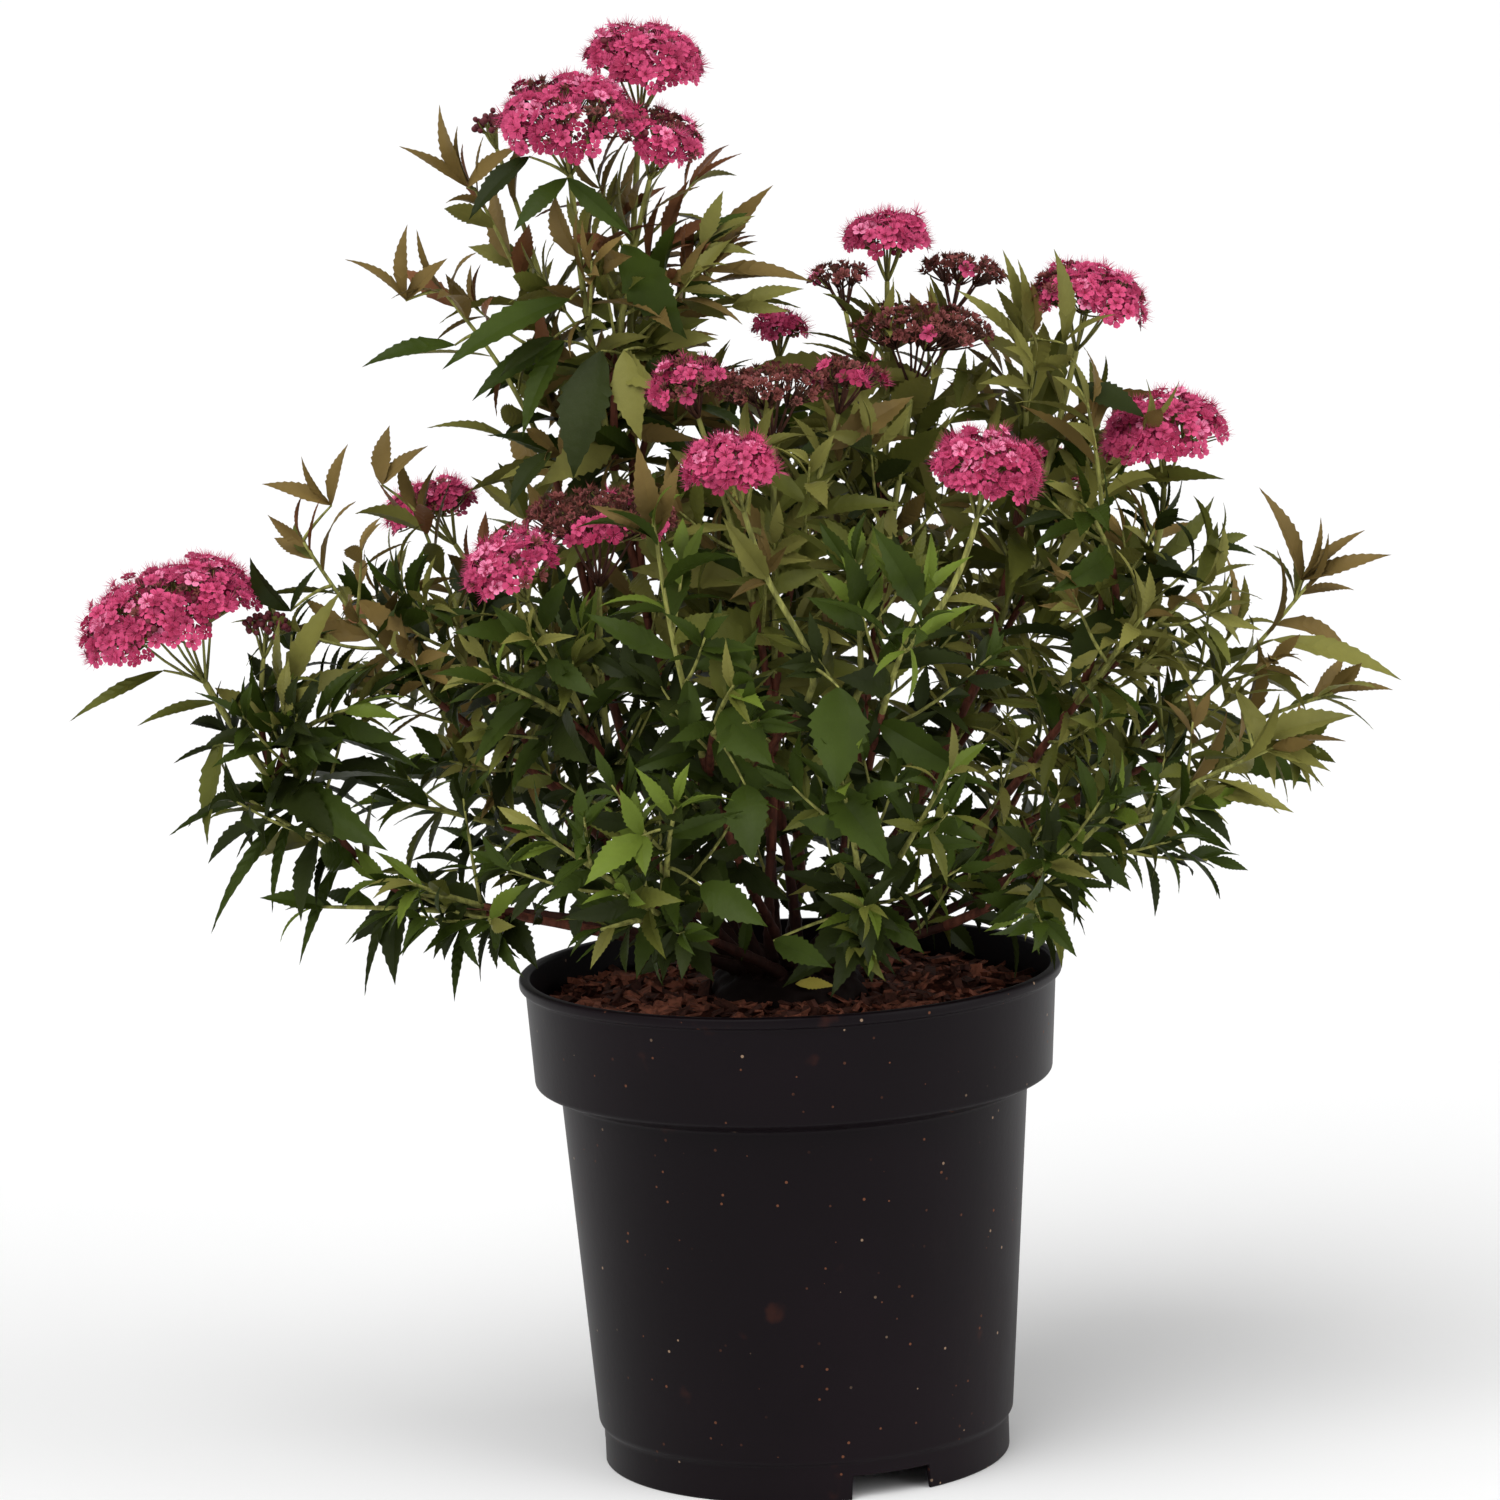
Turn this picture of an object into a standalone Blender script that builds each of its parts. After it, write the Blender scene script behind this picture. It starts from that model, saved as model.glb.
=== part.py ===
"""A spirea shrub in flower, standing in its black nursery pot.

Metres, +Z up. The origin is the middle of the pot's flat underside, and the side
that faces -Y is the front. The plant is a short root crown in the soil, boughs that
rise from it, and one mass of twigs, leaves and flower heads at the end of each bough.
"""

import math
import random
from collections import namedtuple

import bmesh
import bpy
import numpy as np
from mathutils.bvhtree import BVHTree

# The clearance between solids that touch on the real plant.
GAP = 0.0003
UP = np.array([0.0, 0.0, 1.0])

# Pot: a five-litre nursery pot with a deep collar under its rim.
POT_HEIGHT = 0.206
POT_WALL = 0.002
POT_SIDES = 28
RIM_RADIUS = 0.1125
RIM_HEIGHT = 0.005
RIM_ROUND = 0.0012
COLLAR_TOP_RADIUS = 0.110
COLLAR_FOOT_RADIUS = 0.1075
COLLAR_FOOT = 0.161
BODY_TOP_RADIUS = 0.097
BODY_TOP = 0.1565
BODY_FOOT_RADIUS = 0.0867
BODY_FOOT = 0.017
FOOT_RADIUS = 0.0847
FOOT_TOP = 0.015
FLOOR_UNDERSIDE = 0.011
BOSS_RADIUS = 0.036
BOSS_SLOPE = 0.003
NOTCH_WIDTH = 0.035
NOTCH_HEIGHT = 0.010
NOTCH_DEPTH = 0.030
NOTCHES = 3
NOTCH_FROM_FRONT = math.radians(24)

# Soil: flat where the plant stands, a little lower along the wall.
SOIL_TOP = 0.194
SOIL_EDGE_DROP = 0.003
SOIL_FLAT_RADIUS = 0.070

# Curves: how finely they are worked out before they are spaced evenly.
CURVE_SAMPLES = 24
CHORD_POINTS = 10
ALMOST_UPRIGHT = 0.9
TINY = 1e-6

# Root crown: the short stem that carries the boughs.
CROWN_FOOT_RADIUS = 0.037
CROWN_WAIST_RADIUS = 0.0285
CROWN_TOP_RADIUS = 0.0265
CROWN_HEIGHT = 0.012
CROWN_WAIST_SHARE = 0.35
CROWN_SIDES = 18
INNER_RING = 0.012
OUTER_RING = 0.0215
INNER_COUNT = 9

# Boughs
BOUGH_SIDES = 5
BOUGH_RINGS = 5
BOUGH_FOOT_RADIUS = 0.0026
BOUGH_TIP_RADIUS = 0.0017
SWING_STEP = 0.006
SWING_TRIES = 13
LIMB_CLEARANCE = 0.0012

# Twigs
LEADER_RINGS = 5
LEADER_FOOT_RADIUS = 0.0015
TWIG_TIP_RADIUS = 0.0006
SHOOT_RINGS = 3
SHOOT_RADIUS = 0.0010
SHOOT_PITCH = 0.058
SHOOT_FROM, SHOOT_TO = 0.12, 0.72
SHOOT_LENGTH = (0.040, 0.072)
SHOOT_LEAN = 0.7
SHOOT_RISE = 0.35
FORK_FROM, FORK_TO = 0.24, 0.58
FORK_BEND = 0.6

# Leaves: larger than life, so that fewer of them fill the crown.
LEAF_LENGTH = 0.084
LEAF_TIP_SHARE = 0.46
SHOULDER_TIP_SHARE = 0.58
SHORTER_FROM, SHORTER_TO = 0.25, 0.85
LEAF_WIDTH_SHARE = 0.42
LEAF_THICK_SHARE = 0.022
LEAF_WIDEST = 0.42
LEAF_SUNK = 0.15
LEAF_ARCH = 0.07
LEAF_PITCH = 0.0285
LEAF_FROM = 0.06
LEAF_LEAN = math.radians(38)
LEAF_DROOP = 0.55
DROOP_VARIES = (0.3, 1.5)
SIZE_VARIES = (0.84, 1.12)
TUFT_SIZE_VARIES = (0.8, 1.1)
LEAF_UP = 0.8
EDGE_ON = 0.96
TUFT_LEAVES = 3
TUFT_SPREAD = math.radians(34)
TUFT_REACH = 0.026
TUFT_STEP = 0.0035
GOLDEN_ANGLE = math.radians(137.5)
REACH = 0.075
SPACE_MARGIN = 0.0015
SKIRT_FOOT = 0.207
SKIRT_RADIUS = 0.13
SKIRT_SLOPE = 0.45
GUARD = 0.0004
TURNS_TRIED = (0, 28, -28, 56, -56, 90, -90)
SHARES_TRIED = (1.0, 0.8, 0.62)

# Flower heads: flat-topped domes.
HEAD_SIDES = 7
HEAD_DEPTH_SHARE = 0.42
HEAD_SHOULDER = 0.68
HEAD_SHOULDER_HEIGHT = 0.5
HEAD_BELOW = 0.55
HEAD_ABOVE = 0.72
HEAD_UP = 0.8
HEAD_ROUGHNESS = 0.10

SEED = 41

# A leader is a twig to one tip: where its flower head or its last leaf is, what it
# carries, the spread of its head, and any point that it passes through on its way.
Leader = namedtuple("Leader", "tip kind spread via")
# A mass is named after its place, and starts where its bough ends.
Mass = namedtuple("Mass", "name start via leaders")


def leafy(*tip, via=()):
    return Leader(tip, "leafy", 0.0, via)


def pink(*tip, spread, via=()):
    return Leader(tip, "pink", spread, via)


def faded(*tip, spread, via=()):
    return Leader(tip, "faded", spread, via)


MASSES = (
    Mass("tall_crown", (-0.038, 0.006, 0.288), (), (
        pink(-0.078, -0.015, 0.561, spread=0.060, via=((-0.069, 0.000, 0.444),)),
        pink(-0.046, 0.010, 0.581, spread=0.049),
        leafy(-0.007, 0.022, 0.519),
        faded(-0.040, -0.012, 0.545, spread=0.030),
        leafy(-0.028, 0.002, 0.526),
        leafy(-0.020, -0.026, 0.472),
    )),
    Mass("tall_left", (-0.062, 0.014, 0.286), (), (
        leafy(-0.129, 0.010, 0.557),
        leafy(-0.147, -0.012, 0.512),
        pink(-0.111, 0.026, 0.556, spread=0.016),
    )),
    Mass("mid_left", (-0.066, 0.002, 0.250), (), (
        leafy(-0.155, 0.012, 0.425),
        leafy(-0.205, -0.012, 0.414),
        leafy(-0.168, -0.034, 0.392),
    )),
    Mass("left_arch", (-0.119, -0.012, 0.236), ((-0.070, -0.008, 0.226),), (
        pink(-0.247, -0.030, 0.366, spread=0.070, via=((-0.205, -0.028, 0.298),)),
        leafy(-0.289, -0.034, 0.324),
        leafy(-0.215, -0.046, 0.350),
    )),
    Mass("left_low", (-0.074, -0.030, 0.228), (), (
        leafy(-0.218, -0.040, 0.246),
        leafy(-0.172, -0.074, 0.268),
    )),
    Mass("front_left", (-0.044, -0.034, 0.244), (), (
        faded(-0.069, -0.062, 0.402, spread=0.066),
        pink(-0.105, -0.090, 0.388, spread=0.040),
        leafy(-0.130, -0.118, 0.352),
    )),
    Mass("front_centre", (-0.014, -0.046, 0.246), (), (
        leafy(-0.049, -0.110, 0.432, via=((-0.042, -0.112, 0.360),)),
        pink(-0.016, -0.120, 0.427, spread=0.042, via=((-0.006, -0.116, 0.372),)),
        leafy(-0.010, -0.158, 0.356),
    )),
    Mass("top_centre", (-0.006, -0.018, 0.258), (), (
        faded(0.001, -0.042, 0.450, spread=0.052),
        faded(-0.033, -0.052, 0.455, spread=0.033),
        faded(0.033, -0.034, 0.453, spread=0.034),
    )),
    Mass("back_top", (-0.001, 0.028, 0.258), (), (
        pink(0.006, 0.060, 0.466, spread=0.026),
        leafy(-0.034, 0.090, 0.452),
        leafy(0.026, 0.104, 0.436),
    )),
    Mass("top_right", (0.026, 0.004, 0.264), (), (
        faded(0.063, 0.006, 0.468, spread=0.062),
        faded(0.082, 0.044, 0.488, spread=0.040),
        pink(0.051, 0.032, 0.504, spread=0.036),
        faded(0.030, 0.020, 0.489, spread=0.029),
    )),
    Mass("right_upper", (0.050, 0.020, 0.262), (), (
        pink(0.135, 0.024, 0.476, spread=0.040),
        leafy(0.160, 0.072, 0.430),
        pink(0.112, 0.060, 0.472, spread=0.020),
        leafy(0.104, 0.016, 0.492),
    )),
    Mass("front_right", (0.028, -0.044, 0.245), (), (
        pink(0.085, -0.108, 0.422, spread=0.048, via=((0.062, -0.112, 0.372),)),
        leafy(0.066, -0.150, 0.400),
        leafy(0.030, -0.096, 0.412),
    )),
    Mass("right_mid", (0.064, -0.008, 0.246), (), (
        pink(0.160, -0.012, 0.424, spread=0.050, via=((0.152, -0.012, 0.366),)),
        leafy(0.158, -0.076, 0.372),
        leafy(0.196, -0.040, 0.382),
        leafy(0.124, -0.036, 0.463),
        leafy(0.112, -0.072, 0.418),
    )),
    Mass("right_far", (0.078, 0.018, 0.240), (), (
        leafy(0.236, 0.020, 0.375, via=((0.190, 0.012, 0.322),)),
        leafy(0.254, 0.000, 0.320),
        leafy(0.208, 0.062, 0.352),
    )),
    Mass("right_low", (0.082, -0.020, 0.238), (), (
        leafy(0.229, -0.040, 0.307, via=((0.168, -0.036, 0.283),)),
        leafy(0.188, -0.070, 0.286),
    )),
    Mass("right_bottom", (0.064, -0.042, 0.228), (), (
        leafy(0.146, -0.108, 0.300),
        leafy(0.140, -0.060, 0.250),
        leafy(0.100, -0.134, 0.272),
    )),
    Mass("front_low_left", (-0.030, -0.058, 0.228), (), (
        leafy(-0.072, -0.150, 0.271),
        leafy(-0.116, -0.116, 0.300),
        leafy(-0.036, -0.148, 0.318),
    )),
    Mass("front_low_right", (0.022, -0.060, 0.228), (), (
        leafy(0.030, -0.146, 0.258),
        leafy(0.076, -0.140, 0.326),
        leafy(0.018, -0.152, 0.330),
    )),
    Mass("back_left", (-0.046, 0.036, 0.244), (), (
        pink(-0.146, 0.098, 0.392, spread=0.044),
        leafy(-0.112, 0.130, 0.410),
        leafy(-0.206, 0.076, 0.352),
    )),
    Mass("back_centre", (-0.006, 0.050, 0.246), (), (
        faded(-0.038, 0.142, 0.386, spread=0.050),
        pink(0.022, 0.156, 0.374, spread=0.040),
        leafy(-0.082, 0.176, 0.352),
    )),
    Mass("back_right", (0.042, 0.044, 0.244), (), (
        pink(0.116, 0.128, 0.394, spread=0.046),
        leafy(0.182, 0.118, 0.380),
        leafy(0.070, 0.166, 0.384),
    )),
    Mass("back_low_left", (-0.052, 0.050, 0.228), (), (
        leafy(-0.168, 0.108, 0.292),
        leafy(-0.108, 0.168, 0.286),
        leafy(-0.186, 0.038, 0.280),
    )),
    Mass("back_low_middle", (0.006, 0.068, 0.228), (), (
        leafy(-0.034, 0.194, 0.286),
        leafy(0.042, 0.198, 0.300),
    )),
    Mass("back_low_right", (0.058, 0.046, 0.228), (), (
        leafy(0.174, 0.096, 0.300),
        leafy(0.118, 0.166, 0.300),
        leafy(0.158, 0.052, 0.276),
    )),
)


def clear_scene():
    for thing in list(bpy.data.objects):
        bpy.data.objects.remove(thing)


def unit(vector):
    return vector / np.linalg.norm(vector)


def material(name, colour, roughness):
    made = bpy.data.materials.new(name)
    made.use_nodes = True
    shader = made.node_tree.nodes["Principled BSDF"]
    shader.inputs["Base Color"].default_value = (*colour, 1.0)
    shader.inputs["Roughness"].default_value = roughness
    shader.inputs["Metallic"].default_value = 0.0
    made.diffuse_color = (*colour, 1.0)
    return made


def add_object(name, points, faces, finish, collection=None):
    mesh = bpy.data.meshes.new(name)
    mesh.from_pydata([tuple(p) for p in points], [], faces)
    mesh.materials.append(finish)
    thing = bpy.data.objects.new(name, mesh)
    (collection or bpy.context.scene.collection).objects.link(thing)
    return thing


def turned(profile, sides):
    """A closed solid: the profile's (radius, height) points, from the axis round to
    the axis again and anticlockwise in the r-z plane, turned about Z."""
    rings = []
    points = []
    for radius, height in profile:
        if radius == 0:
            rings.append([len(points)])
            points.append((0.0, 0.0, height))
            continue
        rings.append(list(range(len(points), len(points) + sides)))
        for k in range(sides):
            angle = 2 * math.pi * k / sides
            points.append((radius * math.cos(angle), radius * math.sin(angle), height))
    faces = []
    for lower, upper in zip(rings, rings[1:]):
        for k in range(sides):
            n = (k + 1) % sides
            if len(lower) == 1:
                faces.append((lower[0], upper[n], upper[k]))
            elif len(upper) == 1:
                faces.append((lower[k], lower[n], upper[0]))
            else:
                faces.append((lower[k], lower[n], upper[n], upper[k]))
    return points, faces


def notch_cutter(index):
    """A box across the pot's foot, standing where one drain notch is cut."""
    angle = -math.pi / 2 + NOTCH_FROM_FRONT + index * 2 * math.pi / NOTCHES
    mesh = bpy.data.meshes.new("notch")
    shape = bmesh.new()
    bmesh.ops.create_cube(shape, size=1.0)
    shape.to_mesh(mesh)
    shape.free()
    cutter = bpy.data.objects.new(f"notch_cutter_{index + 1}", mesh)
    cutter.scale = (NOTCH_DEPTH, NOTCH_WIDTH, 2 * NOTCH_HEIGHT)
    cutter.location = (FOOT_RADIUS * math.cos(angle), FOOT_RADIUS * math.sin(angle), 0)
    cutter.rotation_euler = (0, 0, angle)
    cutter.hide_render = True
    cutter.display_type = "WIRE"
    bpy.context.scene.collection.objects.link(cutter)
    return cutter


def make_pot(finish):
    """The rim, deep collar, tapering body and notched foot are one moulded piece."""
    inner_rim = COLLAR_TOP_RADIUS - POT_WALL
    floor_top = FLOOR_UNDERSIDE + POT_WALL
    boss_inside = BOSS_RADIUS - POT_WALL / 2
    profile = (
        (0, 0),
        (BOSS_RADIUS, 0),
        (BOSS_RADIUS + BOSS_SLOPE, FLOOR_UNDERSIDE),
        (FOOT_RADIUS - POT_WALL, FLOOR_UNDERSIDE),
        (FOOT_RADIUS - POT_WALL, 0),
        (FOOT_RADIUS, 0),
        (FOOT_RADIUS, FOOT_TOP),
        (BODY_FOOT_RADIUS, BODY_FOOT),
        (BODY_TOP_RADIUS, BODY_TOP),
        ((BODY_TOP_RADIUS + COLLAR_FOOT_RADIUS) / 2, BODY_TOP + POT_WALL),
        (COLLAR_FOOT_RADIUS, COLLAR_FOOT),
        (COLLAR_TOP_RADIUS, POT_HEIGHT - RIM_HEIGHT),
        (RIM_RADIUS, POT_HEIGHT - RIM_HEIGHT + RIM_ROUND),
        (RIM_RADIUS, POT_HEIGHT - RIM_ROUND),
        (RIM_RADIUS - RIM_ROUND, POT_HEIGHT),
        (inner_rim, POT_HEIGHT),
        (COLLAR_FOOT_RADIUS - POT_WALL, COLLAR_FOOT + POT_WALL),
        (BODY_TOP_RADIUS - POT_WALL, BODY_TOP),
        (BODY_FOOT_RADIUS - POT_WALL, floor_top),
        (BOSS_RADIUS + BOSS_SLOPE, floor_top),
        (boss_inside, POT_WALL),
        (0, POT_WALL),
    )
    pot = add_object("pot", *turned(profile, POT_SIDES), finish)
    for index in range(NOTCHES):
        cut = pot.modifiers.new(f"notch {index + 1}", "BOOLEAN")
        cut.operation = "DIFFERENCE"
        cut.object = notch_cutter(index)
    return pot


def make_soil(finish):
    """Soil to a little under the rim, clear of the pot's wall by the gap."""
    floor = FLOOR_UNDERSIDE + POT_WALL + GAP
    slack = POT_WALL + 1.5 * GAP
    edge = SOIL_TOP - SOIL_EDGE_DROP
    rise = (edge - COLLAR_FOOT) / (POT_HEIGHT - COLLAR_FOOT)
    edge_radius = COLLAR_FOOT_RADIUS + rise * (COLLAR_TOP_RADIUS - COLLAR_FOOT_RADIUS)
    profile = (
        (0, POT_WALL + GAP),
        (BOSS_RADIUS - POT_WALL / 2 - 2 * GAP, POT_WALL + GAP),
        (BOSS_RADIUS + BOSS_SLOPE - 2 * GAP, floor),
        (BODY_FOOT_RADIUS - slack, floor),
        (BODY_TOP_RADIUS - slack, BODY_TOP + GAP),
        (COLLAR_FOOT_RADIUS - slack - GAP, COLLAR_FOOT + POT_WALL + GAP),
        (edge_radius - slack - GAP, edge),
        (SOIL_FLAT_RADIUS, SOIL_TOP),
        (0, SOIL_TOP),
    )
    return add_object("soil", *turned(profile, POT_SIDES), finish)


def make_root_crown(finish):
    """The plant's short stem: a flare at the soil, cut flat, under a flat top."""
    foot = SOIL_TOP + GAP
    profile = (
        (0, foot),
        (CROWN_FOOT_RADIUS, foot),
        (CROWN_WAIST_RADIUS, foot + CROWN_WAIST_SHARE * CROWN_HEIGHT),
        (CROWN_TOP_RADIUS, foot + CROWN_HEIGHT),
        (0, foot + CROWN_HEIGHT),
    )
    return add_object("root_crown", *turned(profile, CROWN_SIDES), finish)


def smooth_path(points, first_way, rings):
    """A curve through the points that leaves the first one along first_way: cubic
    pieces whose slopes follow the neighbouring points, spaced evenly along it."""
    points = np.array(points, float)
    chords = np.linalg.norm(np.diff(points, axis=0), axis=1)
    slopes = np.empty_like(points)
    slopes[1:-1] = (points[2:] - points[:-2]) / (chords[1:] + chords[:-1])[:, None]
    slopes[0] = unit(np.array(first_way, float))
    slopes[-1] = 1.5 * (points[-1] - points[-2]) / chords[-1] - 0.5 * slopes[-2]
    t = np.linspace(0, 1, CURVE_SAMPLES)[:, None]
    pieces = []
    for a, b, at, bt, chord in zip(points, points[1:], slopes, slopes[1:], chords):
        pieces.append(
            (2 * t**3 - 3 * t**2 + 1) * a
            + (t**3 - 2 * t**2 + t) * at * chord
            + (3 * t**2 - 2 * t**3) * b
            + (t**3 - t**2) * bt * chord
        )
    return evenly(np.concatenate(pieces), rings)


def evenly(path, count):
    lengths = np.linalg.norm(np.diff(path, axis=0), axis=1)
    along = np.concatenate([[0.0], np.cumsum(lengths)])
    wanted = np.linspace(0, along[-1], count)
    return np.stack([np.interp(wanted, along, path[:, k]) for k in range(3)], axis=1)


def shortened(path, by):
    """The path less a length at its end, which the last leaves take up."""
    share = 1 - by / path_length(path)
    fine = evenly(path, CHORD_POINTS * len(path))
    return evenly(fine[: max(2, round(share * len(fine)))], len(path))


def path_length(path):
    return float(np.linalg.norm(np.diff(path, axis=0), axis=1).sum())


def tangents(path):
    ways = np.gradient(path, axis=0)
    return ways / np.linalg.norm(ways, axis=1)[:, None]


def at(path, share):
    """The point and the direction at a share of the path's length."""
    place = share * (len(path) - 1)
    low = min(int(place), len(path) - 2)
    point = path[low] + (place - low) * (path[low + 1] - path[low])
    ways = tangents(path)
    return point, unit(ways[low] * (1 - place + low) + ways[low + 1] * (place - low))


def swung(path, amount):
    """The path bowed sideways by an amount, its ends held."""
    chord = path[-1] - path[0]
    side = np.cross(chord, UP)
    if np.linalg.norm(side) < TINY:
        side = np.array([1.0, 0.0, 0.0])
    bow = np.sin(np.pi * np.linspace(0, 1, len(path)))[:, None]
    return path + amount * bow * unit(side)


def distance(path, other):
    a, b = evenly_chords(path), evenly_chords(other)
    return float(np.linalg.norm(a[:, None] - b[None], axis=2).min())


def evenly_chords(path):
    """Points along each of the path's straight pieces."""
    share = np.linspace(0, 1, CHORD_POINTS, endpoint=False)[None, :, None]
    between = path[:-1, None] + share * (path[1:] - path[:-1])[:, None]
    return np.concatenate([between.reshape(-1, 3), path[-1:]])


def clear_route(path, radius, limbs, name):
    """The first of the path's side swings that keeps clear of all the limbs."""
    for k in range(SWING_TRIES):
        amount = SWING_STEP * ((k + 1) // 2) * (-1 if k % 2 else 1)
        trial = swung(path, amount)
        if all(
            distance(trial, other) > radius + other_radius + LIMB_CLEARANCE
            for other, other_radius in limbs
        ):
            return trial
    raise ValueError(f"{name} has no clear route to {path[-1]}")


def frames(path):
    """Two directions across the path at each point, carried along without twist."""
    ways = tangents(path)
    level = np.array([1.0, 0.0, 0.0])
    across = np.cross(ways[0], UP if abs(ways[0][2]) < ALMOST_UPRIGHT else level)
    firsts = []
    for way in ways:
        across = unit(across - across.dot(way) * way)
        firsts.append(across)
    firsts = np.array(firsts)
    return firsts, np.cross(ways, firsts)


def tube(path, foot_radius, tip_radius, sides, level_foot=False):
    """A closed tapering limb. Its foot may be cut level, as on the root crown."""
    first, second = frames(path)
    if level_foot:
        first[0] = unit(first[0] * (1, 1, 0))
        second[0] = np.cross(UP, first[0])
    radii = np.linspace(foot_radius, tip_radius, len(path))
    points = []
    for centre, a, b, radius in zip(path, first, second, radii):
        for k in range(sides):
            angle = 2 * math.pi * k / sides
            points.append(centre + radius * (math.cos(angle) * a + math.sin(angle) * b))
    faces = [tuple(range(sides))[::-1]]
    last = sides * (len(path) - 1)
    faces.append(tuple(range(last, last + sides)))
    for ring in range(0, last, sides):
        for k in range(sides):
            n = (k + 1) % sides
            faces.append((ring + k, ring + n, ring + sides + n, ring + sides + k))
    return points, faces


def leaf(root, way, face, length, thicken=0.0):
    """Six faces: a root and a tip, an edge point on each side, bowed up, and a ridge."""
    side = unit(np.cross(way, face))
    face = np.cross(side, way)
    half_width = LEAF_WIDTH_SHARE * length / 2 + thicken
    widest = root + way * length * LEAF_WIDEST + face * length * LEAF_ARCH
    points = [
        root - way * thicken,
        root + way * (length + 3 * thicken),
        widest + side * half_width - face * thicken,
        widest - side * half_width - face * thicken,
        widest + face * (LEAF_THICK_SHARE * length + thicken),
    ]
    faces = [(0, 2, 4), (2, 1, 4), (0, 4, 3), (3, 4, 1), (0, 3, 2), (2, 3, 1)]
    return points, faces


def flower_head(centre, axis, spread, rng):
    """A dome of blossom: rings at its edge and shoulder between two end points."""
    first = unit(np.cross(axis, UP + np.array([0.3, 0.1, 0.0])))
    second = np.cross(axis, first)
    depth = HEAD_DEPTH_SHARE * spread
    rings = (
        (spread / 2, 0.0),
        (HEAD_SHOULDER * spread / 2, HEAD_SHOULDER_HEIGHT * depth),
    )
    points = [centre - axis * depth * HEAD_BELOW]
    for radius, height in rings:
        for k in range(HEAD_SIDES):
            angle = 2 * math.pi * k / HEAD_SIDES
            wide = radius * (1 + rng.uniform(-HEAD_ROUGHNESS, HEAD_ROUGHNESS))
            out = math.cos(angle) * first + math.sin(angle) * second
            points.append(centre + axis * height + wide * out)
    points.append(centre + axis * depth * HEAD_ABOVE)
    top = len(points) - 1
    faces = []
    for k in range(HEAD_SIDES):
        n = (k + 1) % HEAD_SIDES
        a, b = 1 + k, 1 + n
        faces.append((0, b, a))
        faces.append((a, b, b + HEAD_SIDES, a + HEAD_SIDES))
        faces.append((a + HEAD_SIDES, b + HEAD_SIDES, top))
    return points, faces


def steepness(mass):
    """How steeply the straight line from the root crown rises to the mass."""
    x, y, z = mass.start
    return (z - SOIL_TOP) / math.hypot(x, y)


def crown_places():
    """Where each bough stands on the root crown: the steepest ones on the inner ring,
    the rest on the outer one, each ring in the order of their bearings."""
    by_rise = sorted(MASSES, key=steepness, reverse=True)
    places = {}
    for radius, group in (
        (INNER_RING, by_rise[:INNER_COUNT]),
        (OUTER_RING, by_rise[INNER_COUNT:]),
    ):
        group = sorted(group, key=lambda m: math.atan2(m.start[1], m.start[0]))
        bearings = [math.atan2(m.start[1], m.start[0]) for m in group]
        step = 2 * math.pi / len(group)
        offsets = [b - k * step for k, b in enumerate(bearings)]
        turn = sum(offsets) / len(offsets)
        for k, mass in enumerate(group):
            angle = turn + k * step
            foot = SOIL_TOP + 2 * GAP + CROWN_HEIGHT
            places[mass.name] = np.array(
                [radius * math.cos(angle), radius * math.sin(angle), foot]
            )
    return places


def bough_paths():
    """Each bough's route from the root crown to its mass, the lowest ones first, and
    each clear of those before it."""
    places = crown_places()
    limbs = []
    paths = {}
    for mass in sorted(MASSES, key=steepness):
        foot = places[mass.name]
        outward = unit(np.array([*mass.start[:2], 0.0]))
        first_way = unit(outward + UP * steepness(mass))
        route = smooth_path([foot, *mass.via, mass.start], first_way, BOUGH_RINGS)
        paths[mass.name] = clear_route(route, BOUGH_FOOT_RADIUS, limbs, mass.name)
        limbs.append((paths[mass.name], BOUGH_FOOT_RADIUS))
    return paths


def leader_paths(boughs):
    """For each mass, its leaders' routes. The first goes on from the bough, and each
    other one forks from it, higher for a higher tip."""
    limbs = [(name, path, BOUGH_FOOT_RADIUS) for name, path in boughs.items()]
    paths = {}
    for mass in MASSES:
        way = tangents(boughs[mass.name])[-1]
        others = [limb[1:] for limb in limbs if limb[0] != mass.name]
        stem_foot = boughs[mass.name][-1] + way * GAP
        made = []
        for k, leader in enumerate(mass.leaders):
            foot, first_way = stem_foot, way
            if k:
                share = FORK_FROM + (FORK_TO - FORK_FROM) * min(1, (k - 1) / 3)
                foot, first_way = at(made[0], share)
                onward = unit(np.array(leader.tip) - foot)
                first_way = unit(first_way + FORK_BEND * onward)
            points = [foot, *leader.via, leader.tip]
            route = smooth_path(points, first_way, LEADER_RINGS)
            route = clear_route(route, LEADER_FOOT_RADIUS, others, mass.name)
            if leader.kind == "leafy":
                route = shortened(route, TUFT_REACH)
            made.append(route)
        paths[mass.name] = made
        limbs += [(mass.name, path, LEADER_FOOT_RADIUS) for path in made]
    return paths


class Space:
    """Which space is whose: a mass owns what lies within reach of its own leaders,
    and nearer to them than to those of any other mass."""

    def __init__(self, leaders):
        points = []
        owners = []
        for index, mass in enumerate(MASSES):
            for path in leaders[mass.name]:
                dense = evenly_chords(path)
                points.append(dense)
                owners += [index] * len(dense)
        self.points = np.concatenate(points)
        self.owners = np.array(owners)

    def holds(self, index, places):
        apart = np.linalg.norm(self.points[:, None] - np.array(places)[None], axis=2)
        own = self.owners == index
        mine = apart[own].min(axis=0)
        theirs = apart[~own].min(axis=0)
        return bool(((mine < REACH) & (mine + SPACE_MARGIN < theirs)).all())


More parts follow.
